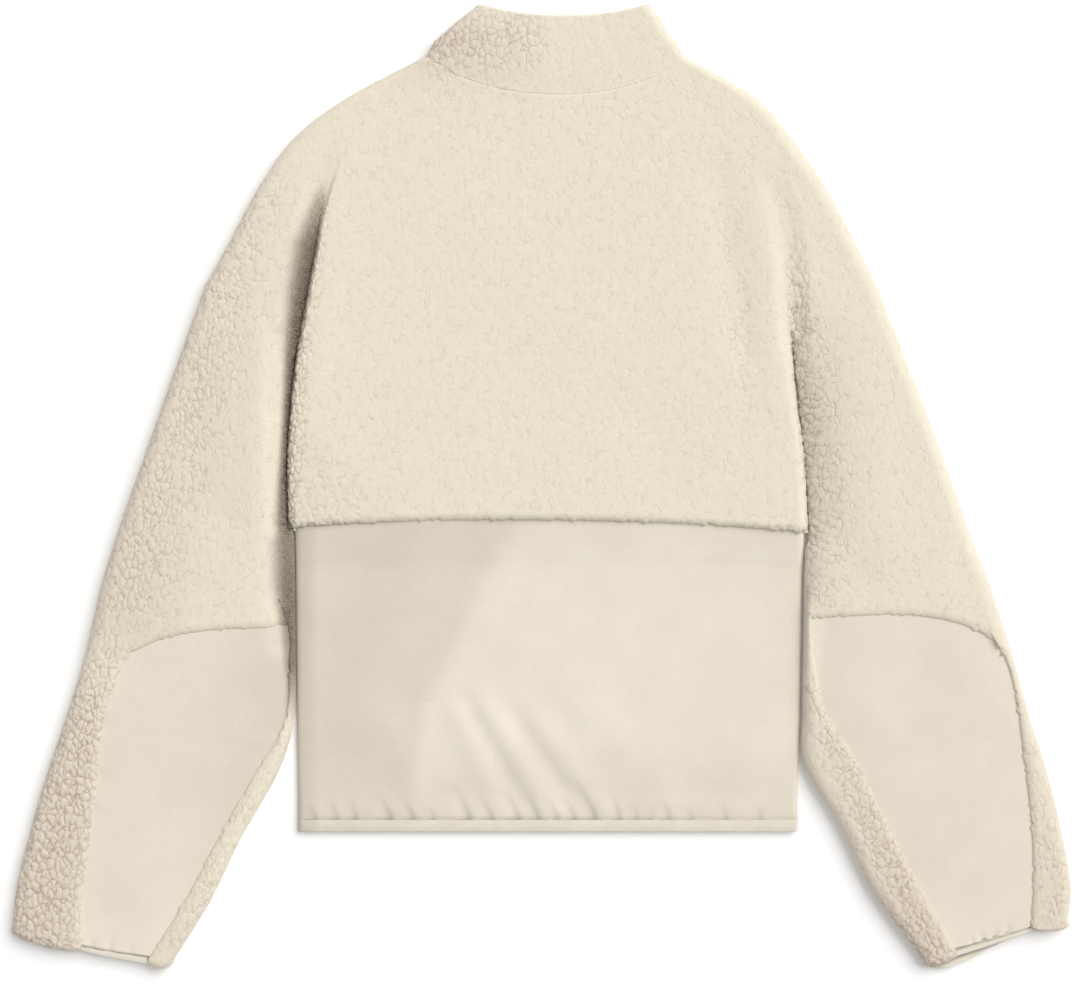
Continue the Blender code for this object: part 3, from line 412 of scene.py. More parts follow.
# Colour of the painted shade on the woven cloth and the bindings
CLOTH_SHADE_COLOUR = (0.16, 0.12, 0.09)
WOVEN_DARK = (0.79, 0.73, 0.622)
WOVEN_LIGHT = (0.82, 0.76, 0.652)
WOVEN_THREAD = (0.68, 0.61, 0.49)
WOVEN_BROAD_NOISE = (30.0, 3.0)
THREAD_STRETCH = (1, 0.2, 1)
THREAD_NOISE = (0.9, 2.0)
THREAD_SPAN = (0.35, 0.7, 0.0, 0.16)
WEAVE_PITCH = 0.9
WEAVE_HEIGHT = 0.35
WOVEN_UNEVEN_NOISE = (3.2, 2.0)
WOVEN_BUMP = (0.35, 0.22)
WOVEN_SURFACE = {
    "Roughness": 0.72,
    "Specular IOR Level": 0.22,
    "Sheen Weight": 0.12,
    "Sheen Roughness": 0.5,
}

BINDING_DARK = (0.77, 0.715, 0.605)
BINDING_LIGHT = (0.81, 0.76, 0.65)
BINDING_BROAD_NOISE = (12.0, 2.0)
RIB_STRETCH = (1, 0.3, 1)
RIB_NOISE = (1.1, 2.0)
BINDING_BUMP = (0.6, 0.4)
BINDING_SURFACE = {"Roughness": 0.85, "Specular IOR Level": 0.15, "Sheen Weight": 0.15}

FLOOR_HALF = 3.0  # metres, as is the size of its grain
FLOOR_NOISE = (0.002, 2.0)
FLOOR_COLOURS = ((0.97, 0.97, 0.975), (0.98, 0.98, 0.98))
FLOOR_SURFACE = {
    "Roughness": 1.0,
    "Specular IOR Level": 0.0,
    "Emission Color": (1, 1, 1, 1),
    "Emission Strength": 0.06,
}

# The studio: a pale sky all round and a soft light from the upper right, turned in degrees
SKY_COLOUR = (0.985, 0.985, 1.0)
SKY_STRENGTH = 0.46
KEY_COLOUR = (1.0, 0.98, 0.95)
KEY_STRENGTH = 2.4
KEY_ANGLE = 50
KEY_TILT = 40
KEY_TURN = 42
LENS = 85.0
SENSOR = 36.0
PICTURE_WIDTH = 0.8424  # of the garment's plane, in metres
EYE_PLAN = (-0.0012, -0.0038)  # metres
VIEW_END = 20.0  # metres

SHARP_ANGLE = 28  # degrees between a face and a skirt or a tuck
# How far a woven sheet or a binding goes on under the pile beside it, and how many of its rows
# give the direction
TUCK = 3.0
TUCK_ROWS = 2
TUCK_SHARE = 0.22  # how much of its height over the folded edge it loses there

# Dimples along the outer, the inner and the cuff seam of each forearm panel: place along the
# seam from 0 to 1, how far into the panel they reach, their width and their depth.
PANEL_DIMPLES = {
    "left": (
        ((0.22, 9, 5, 1.0), (0.40, 8, 5, 1.1), (0.52, 6, 4, 0.8), (0.7, 5, 4, 0.6)),
        ((0.3, 6, 4, 0.6), (0.55, 5, 4, 0.5)),
        ((0.18, 6, 3, 1.0), (0.42, 8, 3, 1.0), (0.7, 5, 3, 0.6)),
    ),
    "right": (
        ((0.35, 6, 4, 0.6), (0.62, 6, 4, 0.7), (0.82, 5, 3, 0.6)),
        ((0.25, 7, 5, 0.7), (0.5, 6, 4, 0.7), (0.74, 6, 4, 0.6)),
        ((0.3, 6, 3, 1.0), (0.46, 5, 3, 0.9), (0.62, 7, 3, 1.0), (0.74, 5, 2.5, 0.8)),
    ),
}

# Points and cells across the sheets
PANEL_ROW_POINTS = 84
CUFF_COLUMNS = 90
TORSO_CELLS = 258
SHOULDER_CELLS = 50
FRONT_CELLS = 110
FRONT_SHOULDER_CELLS = 22
OUTER_STRIP_CELLS = 28
INNER_STRIP_CELLS = 18
PANEL_CELLS = 92
SLEEVE_UNDER_CELLS = 66
COLLAR_CELLS = 130
BAND_CELLS = 230
BAND_FRONT_CELLS = 60


# ---- rows and paths in plan ----


def smooth_values(values, at):
    """Values of a Catmull-Rom curve through the rows, at fractional row numbers."""
    last = len(values) - 1
    start = np.minimum(np.floor(at).astype(int), last - 1)
    t = (at - start).reshape((-1,) + (1,) * (values.ndim - 1))
    here, there = values[start], values[start + 1]
    slope_here = (there - values[np.maximum(start - 1, 0)]) / 2
    slope_there = (values[np.minimum(start + 2, last)] - here) / 2
    return (
        here * (1 + 2 * t) * (1 - t) ** 2
        + slope_here * t * (1 - t) ** 2
        + there * t**2 * (3 - 2 * t)
        + slope_there * t**2 * (t - 1)
    )


def spread(length, step, first, last):
    """Distances from 0 to a length, a step apart but closer at the ends that are cut edges."""
    start = EDGE_MARKS if first else EDGE_MARKS[:1]
    end = EDGE_MARKS if last else EDGE_MARKS[:1]
    cells = max(1, round((length - start[-1] - end[-1]) / step))
    middle = np.linspace(start[-1], length - end[-1], cells + 1)[1:-1]
    return np.concatenate([start, middle, (length - end)[::-1]])


def rows_at(table, at):
    """The table's rows at fractional row numbers."""
    columns = [smooth_values(np.array(column, float), at) for column in zip(*table)]
    return [type(table[0])(*values) for values in zip(*columns)]


def fine_rows(table, path_of, step, first=True, last=True):
    """The table's rows and those between, a step apart, and their row numbers."""
    even = np.linspace(0, 1, PATH_POINTS)
    paths = []
    for row in table:
        path = path_of(row)
        paths.append(along(path, even * length_of(path)))
    spans = [np.linalg.norm(a - b, axis=1).mean() for a, b in zip(paths, paths[1:])]
    marks = np.concatenate([[0], np.cumsum(spans)])
    at = np.interp(spread(marks[-1], step, first, last), marks, np.arange(len(table)))
    return rows_at(table, at), at


def sagging(start, end, sag):
    """Plan points of a row from start to end, hanging below the straight line by sag."""
    u = np.linspace(0, 1, PATH_POINTS)
    points = np.outer(1 - u, start) + np.outer(u, end)
    points[:, 1] -= sag * (1 - np.abs(2 * u - 1) ** NECK_POWER)
    return points


def path_marks(path):
    """Distance along a path at each of its points."""
    return np.concatenate([[0], np.cumsum(np.linalg.norm(np.diff(path, axis=0), axis=1))])


def length_of(path):
    return path_marks(path)[-1]


def along(path, distances):
    """Points at these distances along a plan path."""
    at = path_marks(path)
    return np.column_stack([np.interp(distances, at, path[:, k]) for k in (0, 1)])


def turn_at(distance, fold):
    """Angle round a folded edge at a distance from it, a quarter turn where the layer is flat."""
    return np.arccos(np.clip(1 - distance / fold, 0, 1))


def flat_share(distances, length, folds):
    """1 in the flat of a layer and 0 at its folded edges."""
    return np.sin(turn_at(distances, folds[0])) * np.sin(turn_at(length - distances, folds[1]))


def layer(path, distances, folds, seam_z, face_z):
    """Points of one layer between its two folded edges."""
    lift = flat_share(distances, length_of(path), folds)
    return np.column_stack([along(path, distances), seam_z + (face_z - seam_z) * lift])


def between(start, end, fold_left, fold_right, cells):
    """Columns between two creases or folded edges: close together at each, even between."""
    turn = 1 - np.cos(FOLD_TURNS)
    left = start + fold_left * turn
    right = (end - fold_right * turn)[::-1]
    return np.concatenate([left, np.linspace(left[-1], right[0], cells + 1)[1:-1], right])


def fold_heights(points, folds):
    """Height that the folds give each plan point."""
    total = np.zeros(len(points))
    for fold in folds:
        start = np.array([fold.x0, fold.y0], float)
        run = np.array([fold.x1, fold.y1], float) - start
        share = np.clip((points[:, :2] - start) @ run / (run @ run), 0, 1)
        away = np.linalg.norm(points[:, :2] - start - share[:, None] * run, axis=1)
        total += fold.height * np.exp(-((away / fold.width) ** 2))
    return total


def nearest_on(points, line):
    """Plan offset of each point from the nearest place on a broken line, and where that is."""
    line = np.array(line, float)
    offset = np.zeros((len(points), 2))
    place = np.zeros(len(points))
    least = np.full(len(points), np.inf)
    for number, (start, end) in enumerate(zip(line, line[1:])):
        run = end - start
        share = np.clip((points - start) @ run / max(run @ run, TINY), 0, 1)
        here = points - start - share[:, None] * run
        away = np.linalg.norm(here, axis=1)
        nearer = away < least
        offset[nearer] = here[nearer]
        place[nearer] = number + share[nearer]
        least[nearer] = away[nearer]
    return offset, place, least


def streaked(points, streaks, power):
    """The most that any streak gives each plan point."""
    most = np.zeros(len(points))
    for knots in streaks:
        offset, place, away = nearest_on(points[:, :2], [(knot.x, knot.y) for knot in knots])
        left, right, amount = (
            np.interp(place, np.arange(len(knots)), values)
            for values in zip(*((knot.left, knot.right, knot.amount) for knot in knots))
        )
        rightness = 0.5 + 0.5 * offset[:, 0] / np.maximum(away, NEARLY)
        reach = left + (right - left) * rightness
        most = np.maximum(most, amount * np.exp(-((away / reach) ** power)))
    return most


# ---- sheets ----

# points is rows by columns; cells says which of them are cloth; sense is 1 where rows that run
# down and columns that run right make an upper face, and -1 for the other face.
Sheet = namedtuple("Sheet", "points cells closed sense")


def whole_sheet(points, sense, closed=False):
    """A sheet that is cloth all over."""
    columns = points.shape[1] - (0 if closed else 1)
    return Sheet(points, np.ones((len(points) - 1, columns), bool), closed, sense)


def grid_normals(sheet):
    points = sheet.points
    if sheet.closed:
        across = np.roll(points, -1, axis=1) - np.roll(points, 1, axis=1)
    else:
        across = np.gradient(points, axis=1)
    normals = np.cross(np.gradient(points, axis=0), across) * sheet.sense
    return normals / np.maximum(np.linalg.norm(normals, axis=2, keepdims=True), TINY)


def rounded(sheet, edges):
    """The sheet sunk towards its cut edges, each a plan line and how it sinks."""
    flat = sheet.points.reshape(-1, 3)
    sink = np.zeros(len(flat))
    for line, edge in edges:
        share = np.clip(1 - nearest_on(flat[:, :2], line)[2] / edge.width, 0, 1)
        sink = np.maximum(sink, edge.depth * (1 - np.sqrt(1 - share**2)))
    moved = sheet.points - grid_normals(sheet) * sink.reshape(sheet.points.shape[:2])[..., None]
    return sheet._replace(points=moved)


def ragged(sheet, lines):
    """The sheet with its cut edges along these plan lines made uneven."""
    flat = sheet.points.reshape(-1, 3)
    away = np.min([nearest_on(flat[:, :2], line)[2] for line in lines], axis=0)
    near = np.clip(1 - away / RAGGED_REACH, 0, 1)[:, None]
    waves = sum(np.sin(flat[:, 1::-1] / size + phase) for size, phase in RAGGED)
    waves *= (1 + np.sin(flat[:, :1] / RAGGED_PATCH[0] + flat[:, 1:2] / RAGGED_PATCH[1])) / 2
    moved = flat.copy()
    moved[:, :2] += RAGGED_DEPTH * near * waves
    return sheet._replace(points=moved.reshape(sheet.points.shape))


def sheet_faces(sheet):
    """Four corners of each cell of cloth, as places in the sheet's list of points."""
    rows, columns = sheet.points.shape[:2]
    i, j = np.nonzero(sheet.cells)
    k = (j + 1) % columns
    corners = [i * columns + j, (i + 1) * columns + j, (i + 1) * columns + k, i * columns + k]
    faces = np.column_stack(corners)
    return faces if sheet.sense > 0 else faces[:, ::-1]


def cut_edges(faces, count):
    """Directed edges that only one face has."""
    edges = np.concatenate([faces[:, [k, (k + 1) % 4]] for k in range(4)])
    key = edges.min(axis=1) * count + edges.max(axis=1)
    _, first, uses = np.unique(key, return_index=True, return_counts=True)
    return edges[first[uses == 1]]


def make_piece(name, sheet, rest, skirt=0.0):
    """A mesh object from a sheet, its cut edges carried on into the cloth by a skirt."""
    points = sheet.points.reshape(-1, 3)
    rest = rest.reshape(-1, 3)
    outwards = grid_normals(sheet).reshape(-1, 3)
    faces = sheet_faces(sheet)
    if skirt:
        edges = cut_edges(faces, len(points))
        rim = np.unique(edges)
        inwards = -outwards[rim] * (SKIRT_LEAN, SKIRT_LEAN, 1)
        inwards *= skirt / np.linalg.norm(inwards, axis=1, keepdims=True)
        place = np.zeros(len(points), int)
        place[rim] = len(points) + np.arange(len(rim))
        a, b = edges[:, 0], edges[:, 1]
        points = np.vstack([points, points[rim] + inwards])
        rest = np.vstack([rest, rest[rim] + inwards])
        outwards = np.vstack([outwards, outwards[rim]])
        faces = np.vstack([faces, np.column_stack([b, a, place[a], place[b]])])
    used, inverse = np.unique(faces, return_inverse=True)
    faces = inverse.reshape(faces.shape)
    points = (points[used] - CENTRE) * MM
    mesh = bpy.data.meshes.new(name)
    mesh.vertices.add(len(points))
    mesh.vertices.foreach_set("co", points.ravel())
    mesh.loops.add(faces.size)
    mesh.loops.foreach_set("vertex_index", faces.ravel().astype(np.int32))
    mesh.polygons.add(len(faces))
    mesh.polygons.foreach_set("loop_start", np.arange(len(faces), dtype=np.int32) * 4)
    mesh.update(calc_edges=True)
    mesh.validate()
    for title, values in (("rest", rest), ("outwards", outwards)):
        made = mesh.attributes.new(title, "FLOAT_VECTOR", "POINT")
        made.data.foreach_set("vector", values[used].ravel())
    mesh.shade_smooth()
    mesh.set_sharp_from_angle(angle=np.radians(SHARP_ANGLE))
    piece = bpy.data.objects.new(name, mesh)
    bpy.context.scene.collection.objects.link(piece)
    return piece


def add_streaks(piece, name, streaks, power, least=0.0):
    """A value at each point of a piece, for its relief or its colour."""
    points = np.empty(len(piece.data.vertices) * 3, np.float32)
    piece.data.vertices.foreach_get("co", points)
    points = points.reshape(-1, 3) / MM + CENTRE
    values = np.clip(np.maximum(streaked(points, streaks, power), least), 0, 1)
    made = piece.data.attributes.new(name, "FLOAT", "POINT")
    made.data.foreach_set("value", values.astype(np.float32))


def stretched(points):
    """Pattern coordinates of the points, drawn out up the garment."""
    return points * (1, CURL_STRETCH, 1)


# ---- the body ----


def shoulder_path(row):
    middle = sagging(row.crease_left, row.crease_right, row.sag)
    return np.vstack([row.edge_left, middle, row.edge_right])


def torso_path(row):
    return sagging(row.left, row.right, row.sag)


def shoulder_creases(row, length):
    """Distances along a shoulder row's path at which its two creases lie."""
    left = np.linalg.norm(np.subtract(row.edge_left, row.crease_left))
    right = length - np.linalg.norm(np.subtract(row.edge_right, row.crease_right))
    return left, right


def shoulder_distances(row, length, cells, shoulder_cells):
    """Its columns, close together at its folded edges and its creases."""
    crease_left, crease_right = shoulder_creases(row, length)
    turn = 1 - np.cos(FOLD_TURNS)

    def shoulder(crease):
        inner = np.linspace(row.fold, crease, shoulder_cells + 1)[1:-1]
        return np.concatenate([row.fold * turn, inner])

    close = row.groove * CREASE_SHARE
    torso = between(crease_left, crease_right, close, close, cells)
    right = length - shoulder(length - crease_right)[::-1]
    return np.concatenate([shoulder(crease_left), torso, right])


def groove_depth(inwards, groove, shares, depth):
    """Depth of a crease at a distance from it, which is above 0 on the back's side."""
    width = groove * np.where(inwards < 0, *shares)
    share = np.clip(np.abs(inwards) / width, 0, 1)
    return depth * (1 - share**2) ** 2


def both_grooves(row, from_left, from_right):
    """The same for a row's two creases, at distances from each."""
    left = groove_depth(from_left, row.groove, GROOVE_LEFT, row.depth_left)
    return left + groove_depth(from_right, row.groove, GROOVE_RIGHT, row.depth_right)


def shoulder_section(row, cells, shoulder_cells, upper):
    """A shoulder row of the upper or the lower layer, with the creases over the armholes."""
    path = shoulder_path(row)
    length = length_of(path)
    distances = shoulder_distances(row, length, cells, shoulder_cells)
    folds = (row.fold, row.fold)
    if not upper:
        return layer(path, distances, folds, SEAM_Z, 0)
    points = layer(path, distances, folds, SEAM_Z, row.top_z)
    points[:, 2] += fold_heights(points, YOKE_FOLDS) * flat_share(distances, length, folds)
    left, right = shoulder_creases(row, length)
    points[:, 2] -= both_grooves(row, distances - left, right - distances)
    return points


def torso_section(row, at, cells, upper):
    """A torso row; just below the armhole its ends are still creases in the back."""
    folded = np.clip(at / GROOVE_TO_FOLD, 0, 1)
    folded = folded * folded * (3 - 2 * folded)
    armhole = SHOULDER_ROWS[-1]
    path = torso_path(row)
    length = length_of(path)
    close = armhole.groove * CREASE_SHARE
    folds = (close + (row.fold_left - close) * folded, close + (row.fold_right - close) * folded)
    distances = between(0, length, *folds, cells)
    points = layer(path, distances, folds, SEAM_Z, row.top_z if upper else 0)
    open_z = np.full(len(points), row.top_z if upper else 0.0)
    if upper:
        open_z -= both_grooves(armhole, distances, length - distances)
    points[:, 2] = open_z + (points[:, 2] - open_z) * folded
    if upper:
        share = 1 - folded + folded * flat_share(distances, length, folds)
        points[:, 2] += fold_heights(points, YOKE_FOLDS) * share
    return points


def body_sheet(cells, shoulder_cells, step, upper):
    """The sherpa part of one layer of the body, and the plan lines of its cut edges."""
    rows, _ = fine_rows(SHOULDER_ROWS, shoulder_path, step)
    shoulders = [shoulder_section(row, cells, shoulder_cells, upper) for row in rows]
    rows, at = fine_rows(TORSO_ROWS, torso_path, step)
    torsos = [torso_section(row, mark, cells, upper) for row, mark in zip(rows[1:], at[1:])]
    spare = len(FOLD_TURNS) + shoulder_cells - 1
    padded = [np.pad(points, ((spare, spare), (0, 0)), "edge") for points in torsos]
    points = np.array(shoulders + padded)
    beyond = 2 * shoulders[-1] - shoulders[-2]
    for end in (slice(spare), slice(-spare, None)):
        points[len(shoulders), end] = beyond[end]
    sheet = whole_sheet(points, 1 if upper else -1)
    sheet.cells[len(shoulders) - 1 :, :spare] = False
    sheet.cells[len(shoulders) - 1 :, -spare:] = False
    armhole = points[len(shoulders) - 1]
    edges = {
        "neck": points[0][::EDGE_STEP, :2],
        "hem": torsos[-1][::EDGE_STEP, :2],
        "left": armhole[: spare + 1 : EDGE_STEP, :2],
        "right": armhole[-spare - 1 :: EDGE_STEP, :2],
    }
    return sheet, edges


def yoke():
    sheet, edges = body_sheet(TORSO_CELLS, SHOULDER_CELLS, PILE_STEP, True)
    rest = stretched(sheet.points)
    sinks = {"neck": NECK_EDGE, "hem": YOKE_EDGE, "left": PILE_SEAM, "right": PILE_SEAM}
    sheet = rounded(sheet, [(edges[name], sink) for name, sink in sinks.items()])
    return make_piece("sherpa_back_yoke", ragged(sheet, [edges["hem"]]), rest, SKIRT)


def front_upper():
    sheet, _ = body_sheet(FRONT_CELLS, FRONT_SHOULDER_CELLS, UNDER_STEP, False)
    rest = stretched(sheet.points)
    return make_piece("sherpa_front_upper", sheet, rest, SKIRT)


def gather_heights(points, hem_y):
    """Height that the gathers above the hem give each plan point: creases between small puffs."""
    up = points[:, 1] - hem_y
    total = ROLL_HEIGHT * np.exp(-(((up - ROLL_UP) / ROLL_WIDTH) ** 2))
    for gather in GATHERS:
        rise = np.clip(up / gather.reach, 0, 1)
        away = points[:, 0] - gather.x - gather.lean * rise**GATHER_BEND
        width = gather.width * np.where(away < 0, GATHER_LEFT, GATHER_RIGHT)
        across = np.exp(-((away / width) ** 2))
        total -= gather.depth * across * (1 - rise) ** GATHER_FADE * (up < gather.reach)
    return total


def band_sheet(cells, step, upper):
    rows, _ = fine_rows(BAND_ROWS, torso_path, step)
    sections = []
    for row in rows:
        path = torso_path(row)
        length = length_of(path)
        folds = (row.fold, row.fold)
        distances = between(0, length, *folds, cells)
        under_z = max(row.under_z, 0)
        if upper:
            points = layer(path, distances, folds, row.seam_z, row.top_z)
            heights = fold_heights(points, BAND_FOLDS)
            heights += gather_heights(points, BAND_ROWS[-1].left[1])
            least = under_z + 2 * WOVEN_WALL + LEAST_SLIT - points[:, 2]
            flat = flat_share(distances, length, folds)
            points[:, 2] += np.maximum(heights * flat, least) * flat
        else:
            points = layer(path, distances, folds, row.seam_z, under_z)
        sections.append(points)
    return whole_sheet(np.array(sections), 1 if upper else -1)


def back_lower():
    sheet = tucked(band_sheet(BAND_CELLS, WOVEN_STEP, True))
    return make_piece("woven_back_lower", sheet, sheet.points)


def front_lower():
    sheet = band_sheet(BAND_FRONT_CELLS, 2 * UNDER_STEP, False)
    return make_piece("woven_front_lower", sheet, sheet.points)


# ---- rings ----


def ring_points(upper, lower, folds, seam_z, top_z, under_z, wall):
    """Outer and inner points of one row of a ring, over the top and back underneath."""
    sides = []
    for shrink in (0, wall):
        over = layer(*upper, folds, seam_z, top_z - shrink)
        under = layer(*lower, folds, seam_z, under_z + shrink)
        sides.append(np.vstack([over, under[-2:0:-1]]))
    inner = sides[1]
    middle = (upper[0][0] + upper[0][-1]) / 2
    reach = np.linalg.norm(inner[:, :2] - middle, axis=1)
    half = length_of(upper[0]) / 2
    inner[:, :2] += (middle - inner[:, :2]) * np.clip(wall / half * (reach / half), 0, 1)[:, None]
    return sides[0], inner


def with_rim(sides, outwards, bulge, blind=0.0):
    """The rows of a ring carried round the rim of its wall and back inside it, less a share."""
    outer_rows, inner_rows = (list(rows) for rows in zip(*sides))
    outer, inner = outer_rows[-1], inner_rows[-1]
    rim = []
    for turn in np.linspace(0, np.pi, RIM_STEPS + 2)[1:-1]:
        across = (outer + inner) / 2 + (outer - inner) / 2 * np.cos(turn)
        rim.append(across + outwards * bulge * np.sin(turn))
    return np.array(outer_rows + rim + inner_rows[int(len(sides) * blind) :][::-1])


def collar_path(row, neck_path, rising):
    """A collar row's plan path, the first ones turning from the neck's line to the collar's."""
    if rising >= 1:
        return sagging(row.left, row.right, row.sag)
    even = np.linspace(0, 1, PATH_POINTS)
    first = sagging(COLLAR_ROWS[1].left, COLLAR_ROWS[1].right, COLLAR_ROWS[1].sag)
    from_neck = along(neck_path, even * length_of(neck_path))
    return from_neck * (1 - rising) + along(first, even * length_of(first)) * rising


def collar():
    neck_path = shoulder_path(SHOULDER_ROWS[0])
    rows, at = fine_rows(COLLAR_ROWS, torso_path, PILE_STEP, last=False)
    sides = []
    for row, mark in zip(rows, at):
        path = collar_path(row, neck_path, min(mark, 1))
        folds = (row.fold, row.fold)
        across = (path, between(0, length_of(path), *folds, COLLAR_CELLS))
        sides.append(ring_points(across, across, folds, SEAM_Z, row.top_z, 0, SHERPA_WALL))
    points = with_rim(sides, np.array([0, 1, 0]), COLLAR_RIM, COLLAR_BLIND)
    sheet = tucked(whole_sheet(points, -1, True))
    return make_piece("sherpa_collar", sheet, stretched(sheet.points))


def hem_binding():
    row = BAND_ROWS[-1]
    folds = (row.fold, row.fold)
    sides = []
    for down in np.linspace(0, HEM_BINDING_WIDTH, HEM_RINGS):
        bulge = HEM_BULGE * np.sin(np.pi * down / HEM_BINDING_WIDTH)
        path = torso_path(row) - (0, down)
        across = (path, between(0, length_of(path), *folds, BAND_CELLS))
        top_z = HEM_TOP_Z + bulge
        sides.append(ring_points(across, across, folds, row.seam_z, top_z, 0, BINDING_WALL))
    points = with_rim(sides, np.array([0, -1, 0]), HEM_RIM)
    return make_piece("hem_binding_tape", whole_sheet(points, 1, True), points)


# ---- sleeves ----


def strip_paths(row):
    """Plan paths of a sleeve row's strips of pile, beside its outer and its inner edge."""
    outer_strip = sagging(row.outer, row.seam_out, row.sag_out)
    return outer_strip, sagging(row.seam_in, row.inner, row.sag_in)


def sleeve_path(row):
    """Plan path of a sleeve row from its outer edge over both panel seams to its inner edge."""
    s = np.linspace(0, 1, PANEL_POINTS)
    panel = np.outer(1 - s, row.seam_out) + np.outer(s, row.seam_in)
    panel[:, 1] += row.rise * np.sin(np.pi * s**PANEL_SHOULDER)
    outer_strip, inner_strip = strip_paths(row)
    return np.vstack([outer_strip[:-1], panel, inner_strip[1:]])


def strip_distances(strip, fold, cells):
    """Columns from a sleeve's folded edge to the seam beside it, closer together at both."""
    turned = fold * (1 - np.cos(FOLD_TURNS))
    dense = strip - EDGE_MARKS[EDGE_MARKS < strip - fold][::-1]
    gap = np.linspace(fold, dense[0], cells + len(EDGE_MARKS) - len(dense) + 1)[1:-1]
    return np.concatenate([turned, gap, dense])


def sleeve_table(side, table):
    """The sleeve's rows, the first one following the armhole edge of the body."""
    armhole = SHOULDER_ROWS[-1]
    ends = (armhole.edge_left, armhole.crease_left)
    if side is RIGHT:
        ends = (armhole.edge_right, armhole.crease_right)
    edge, crease = (np.array(point, float) + side.armhole_shift for point in ends)
    first = table[0]._replace(
        outer=tuple(edge),
        seam_out=tuple(edge + (crease - edge) * ARMHOLE_SEAM_OUT),
        seam_in=tuple(edge + (crease - edge) * ARMHOLE_SEAM_IN),
        inner=tuple(crease),
        top_z=armhole.top_z,
    )
    return (first,) + table


def sleeve_rows(side, table, step):
    """Rows from the armhole to the cuff, close together by the panel's upper seam too."""
    whole = sleeve_table(side, table)
    _, at = fine_rows(whole, sleeve_path, step)
    near = EDGE_MARKS[-1] / ROW_SPAN
    close = np.concatenate([-EDGE_MARKS[::-1], EDGE_MARKS[1:]]) / ROW_SPAN
    at = at[np.abs(at - PANEL_START) > ROW_CLEARANCE * near]
    at = np.sort(np.concatenate([at, PANEL_START + close]))
    return rows_at(whole, at), at


def sleeve_parts(side, table, folds):
    """The sleeve's tube of pile, its cut edges at the panel, and the panel's and cuff's rows."""
    rows, at = sleeve_rows(side, table, PILE_STEP)
    pile, shell = [], []
    for row, mark in zip(rows, at):
        path = sleeve_path(row)
        length = length_of(path)
        outer_strip, inner_strip = (length_of(strip) for strip in strip_paths(row))
        edges = (
            min(SLEEVE_OUTER_FOLD, STRIP_FOLD_SHARE * outer_strip),
            min(row.inner_fold, STRIP_FOLD_SHARE * inner_strip),
        )
        outer = strip_distances(outer_strip, edges[0], OUTER_STRIP_CELLS)
        inner = length - strip_distances(inner_strip, edges[1], INNER_STRIP_CELLS)[::-1]
        panel = np.linspace(outer[-1], inner[0], PANEL_CELLS + 1)
        distances = np.concatenate([outer, panel[1:-1], inner])
        near_cuff = np.clip((mark - len(table)) / CUFF_REACH_ROWS + 1, 0, 1)
        lower = path.copy()
        share = path_marks(path) / length
        lower[:, 1] -= side.under_reach * near_cuff * np.sin(np.pi * share**REACH_SKEW) ** 2
        below_at = between(0, length_of(lower), *edges, SLEEVE_UNDER_CELLS)
        over = layer(path, distances, edges, SEAM_Z, row.top_z)
        over[:, 2] += fold_heights(over, folds) * flat_share(distances, length, edges)
        near = np.clip(1 - mark / ARMHOLE_BLEND, 0, 1) ** 2
        over[:, 2] += (armhole_heights(side, over, distances, length) - over[:, 2]) * near
        below = layer(lower, below_at, edges, SEAM_Z, 0)
        pile.append(np.vstack([over, below[-2:0:-1]]))
        if mark > PANEL_START - NEARLY:
            seams = (outer[-1], inner[0])
            shell.append(shell_row(path, length, seams, edges, row, folds))
    points = np.array(pile)
    first = len(FOLD_TURNS) + OUTER_STRIP_CELLS + len(EDGE_MARKS) - 2
    last = first + PANEL_CELLS
    start = len(at) - len(shell)
    sheet = whole_sheet(points, side.sense, True)
    sheet.cells[start:, first:last] = False
    cut = [points[start:, first], points[start, first : last + 1], points[start:, last]]
    over_count = last + len(FOLD_TURNS) + INNER_STRIP_CELLS + len(EDGE_MARKS) - 1
    under = np.vstack([points[-1, over_count - 1 :], points[-1, :1]])[::-1]
    cuff = (points[-1, :over_count], under)
    outer_lip = np.linspace(1, side.lip_at_seam, first + 1)
    lip = np.concatenate([outer_lip, np.ones(over_count - last)])
    strips = np.concatenate([np.arange(first + 1), np.arange(last, over_count)])
    sheet = with_lips(sheet, strips, lip, cuff_direction(table))
    return sheet, [line[::SEAM_STEP, :2] for line in cut], np.array(shell), cuff


def cuff_direction(table):
    """Plan direction in which a sleeve runs on at its cuff."""
    last, before = table[-1], table[-3]
    run = np.subtract(last.outer, before.outer) + np.subtract(last.inner, before.inner)
    return run / np.linalg.norm(run)


def with_lips(sheet, strips, reach, down):
    """The sleeve with the pile of its strips carried on over the cuff binding and down."""
    last = sheet.points[-1]
    wanted = np.zeros(sheet.points.shape[1])
    wanted[strips] = reach
    rows = []
    for turn in LIP_TURNS:
        row = last.copy()
        row[:, :2] += np.outer(wanted, down) * LIP * np.sin(turn)
        row[:, 2] -= row[:, 2] * wanted * LIP_DROP * (1 - np.cos(turn))
        rows.append(row)
    inside = np.zeros(sheet.points.shape[1], bool)
    inside[strips] = True
    cells = np.tile(inside & np.roll(inside, -1), (len(rows), 1))
    cells[:, np.array(strips)[np.diff(strips, append=strips[-1] + 2) > 1]] = False
    return sheet._replace(
        points=np.concatenate([sheet.points, rows]),
        cells=np.concatenate([sheet.cells, cells]),
    )


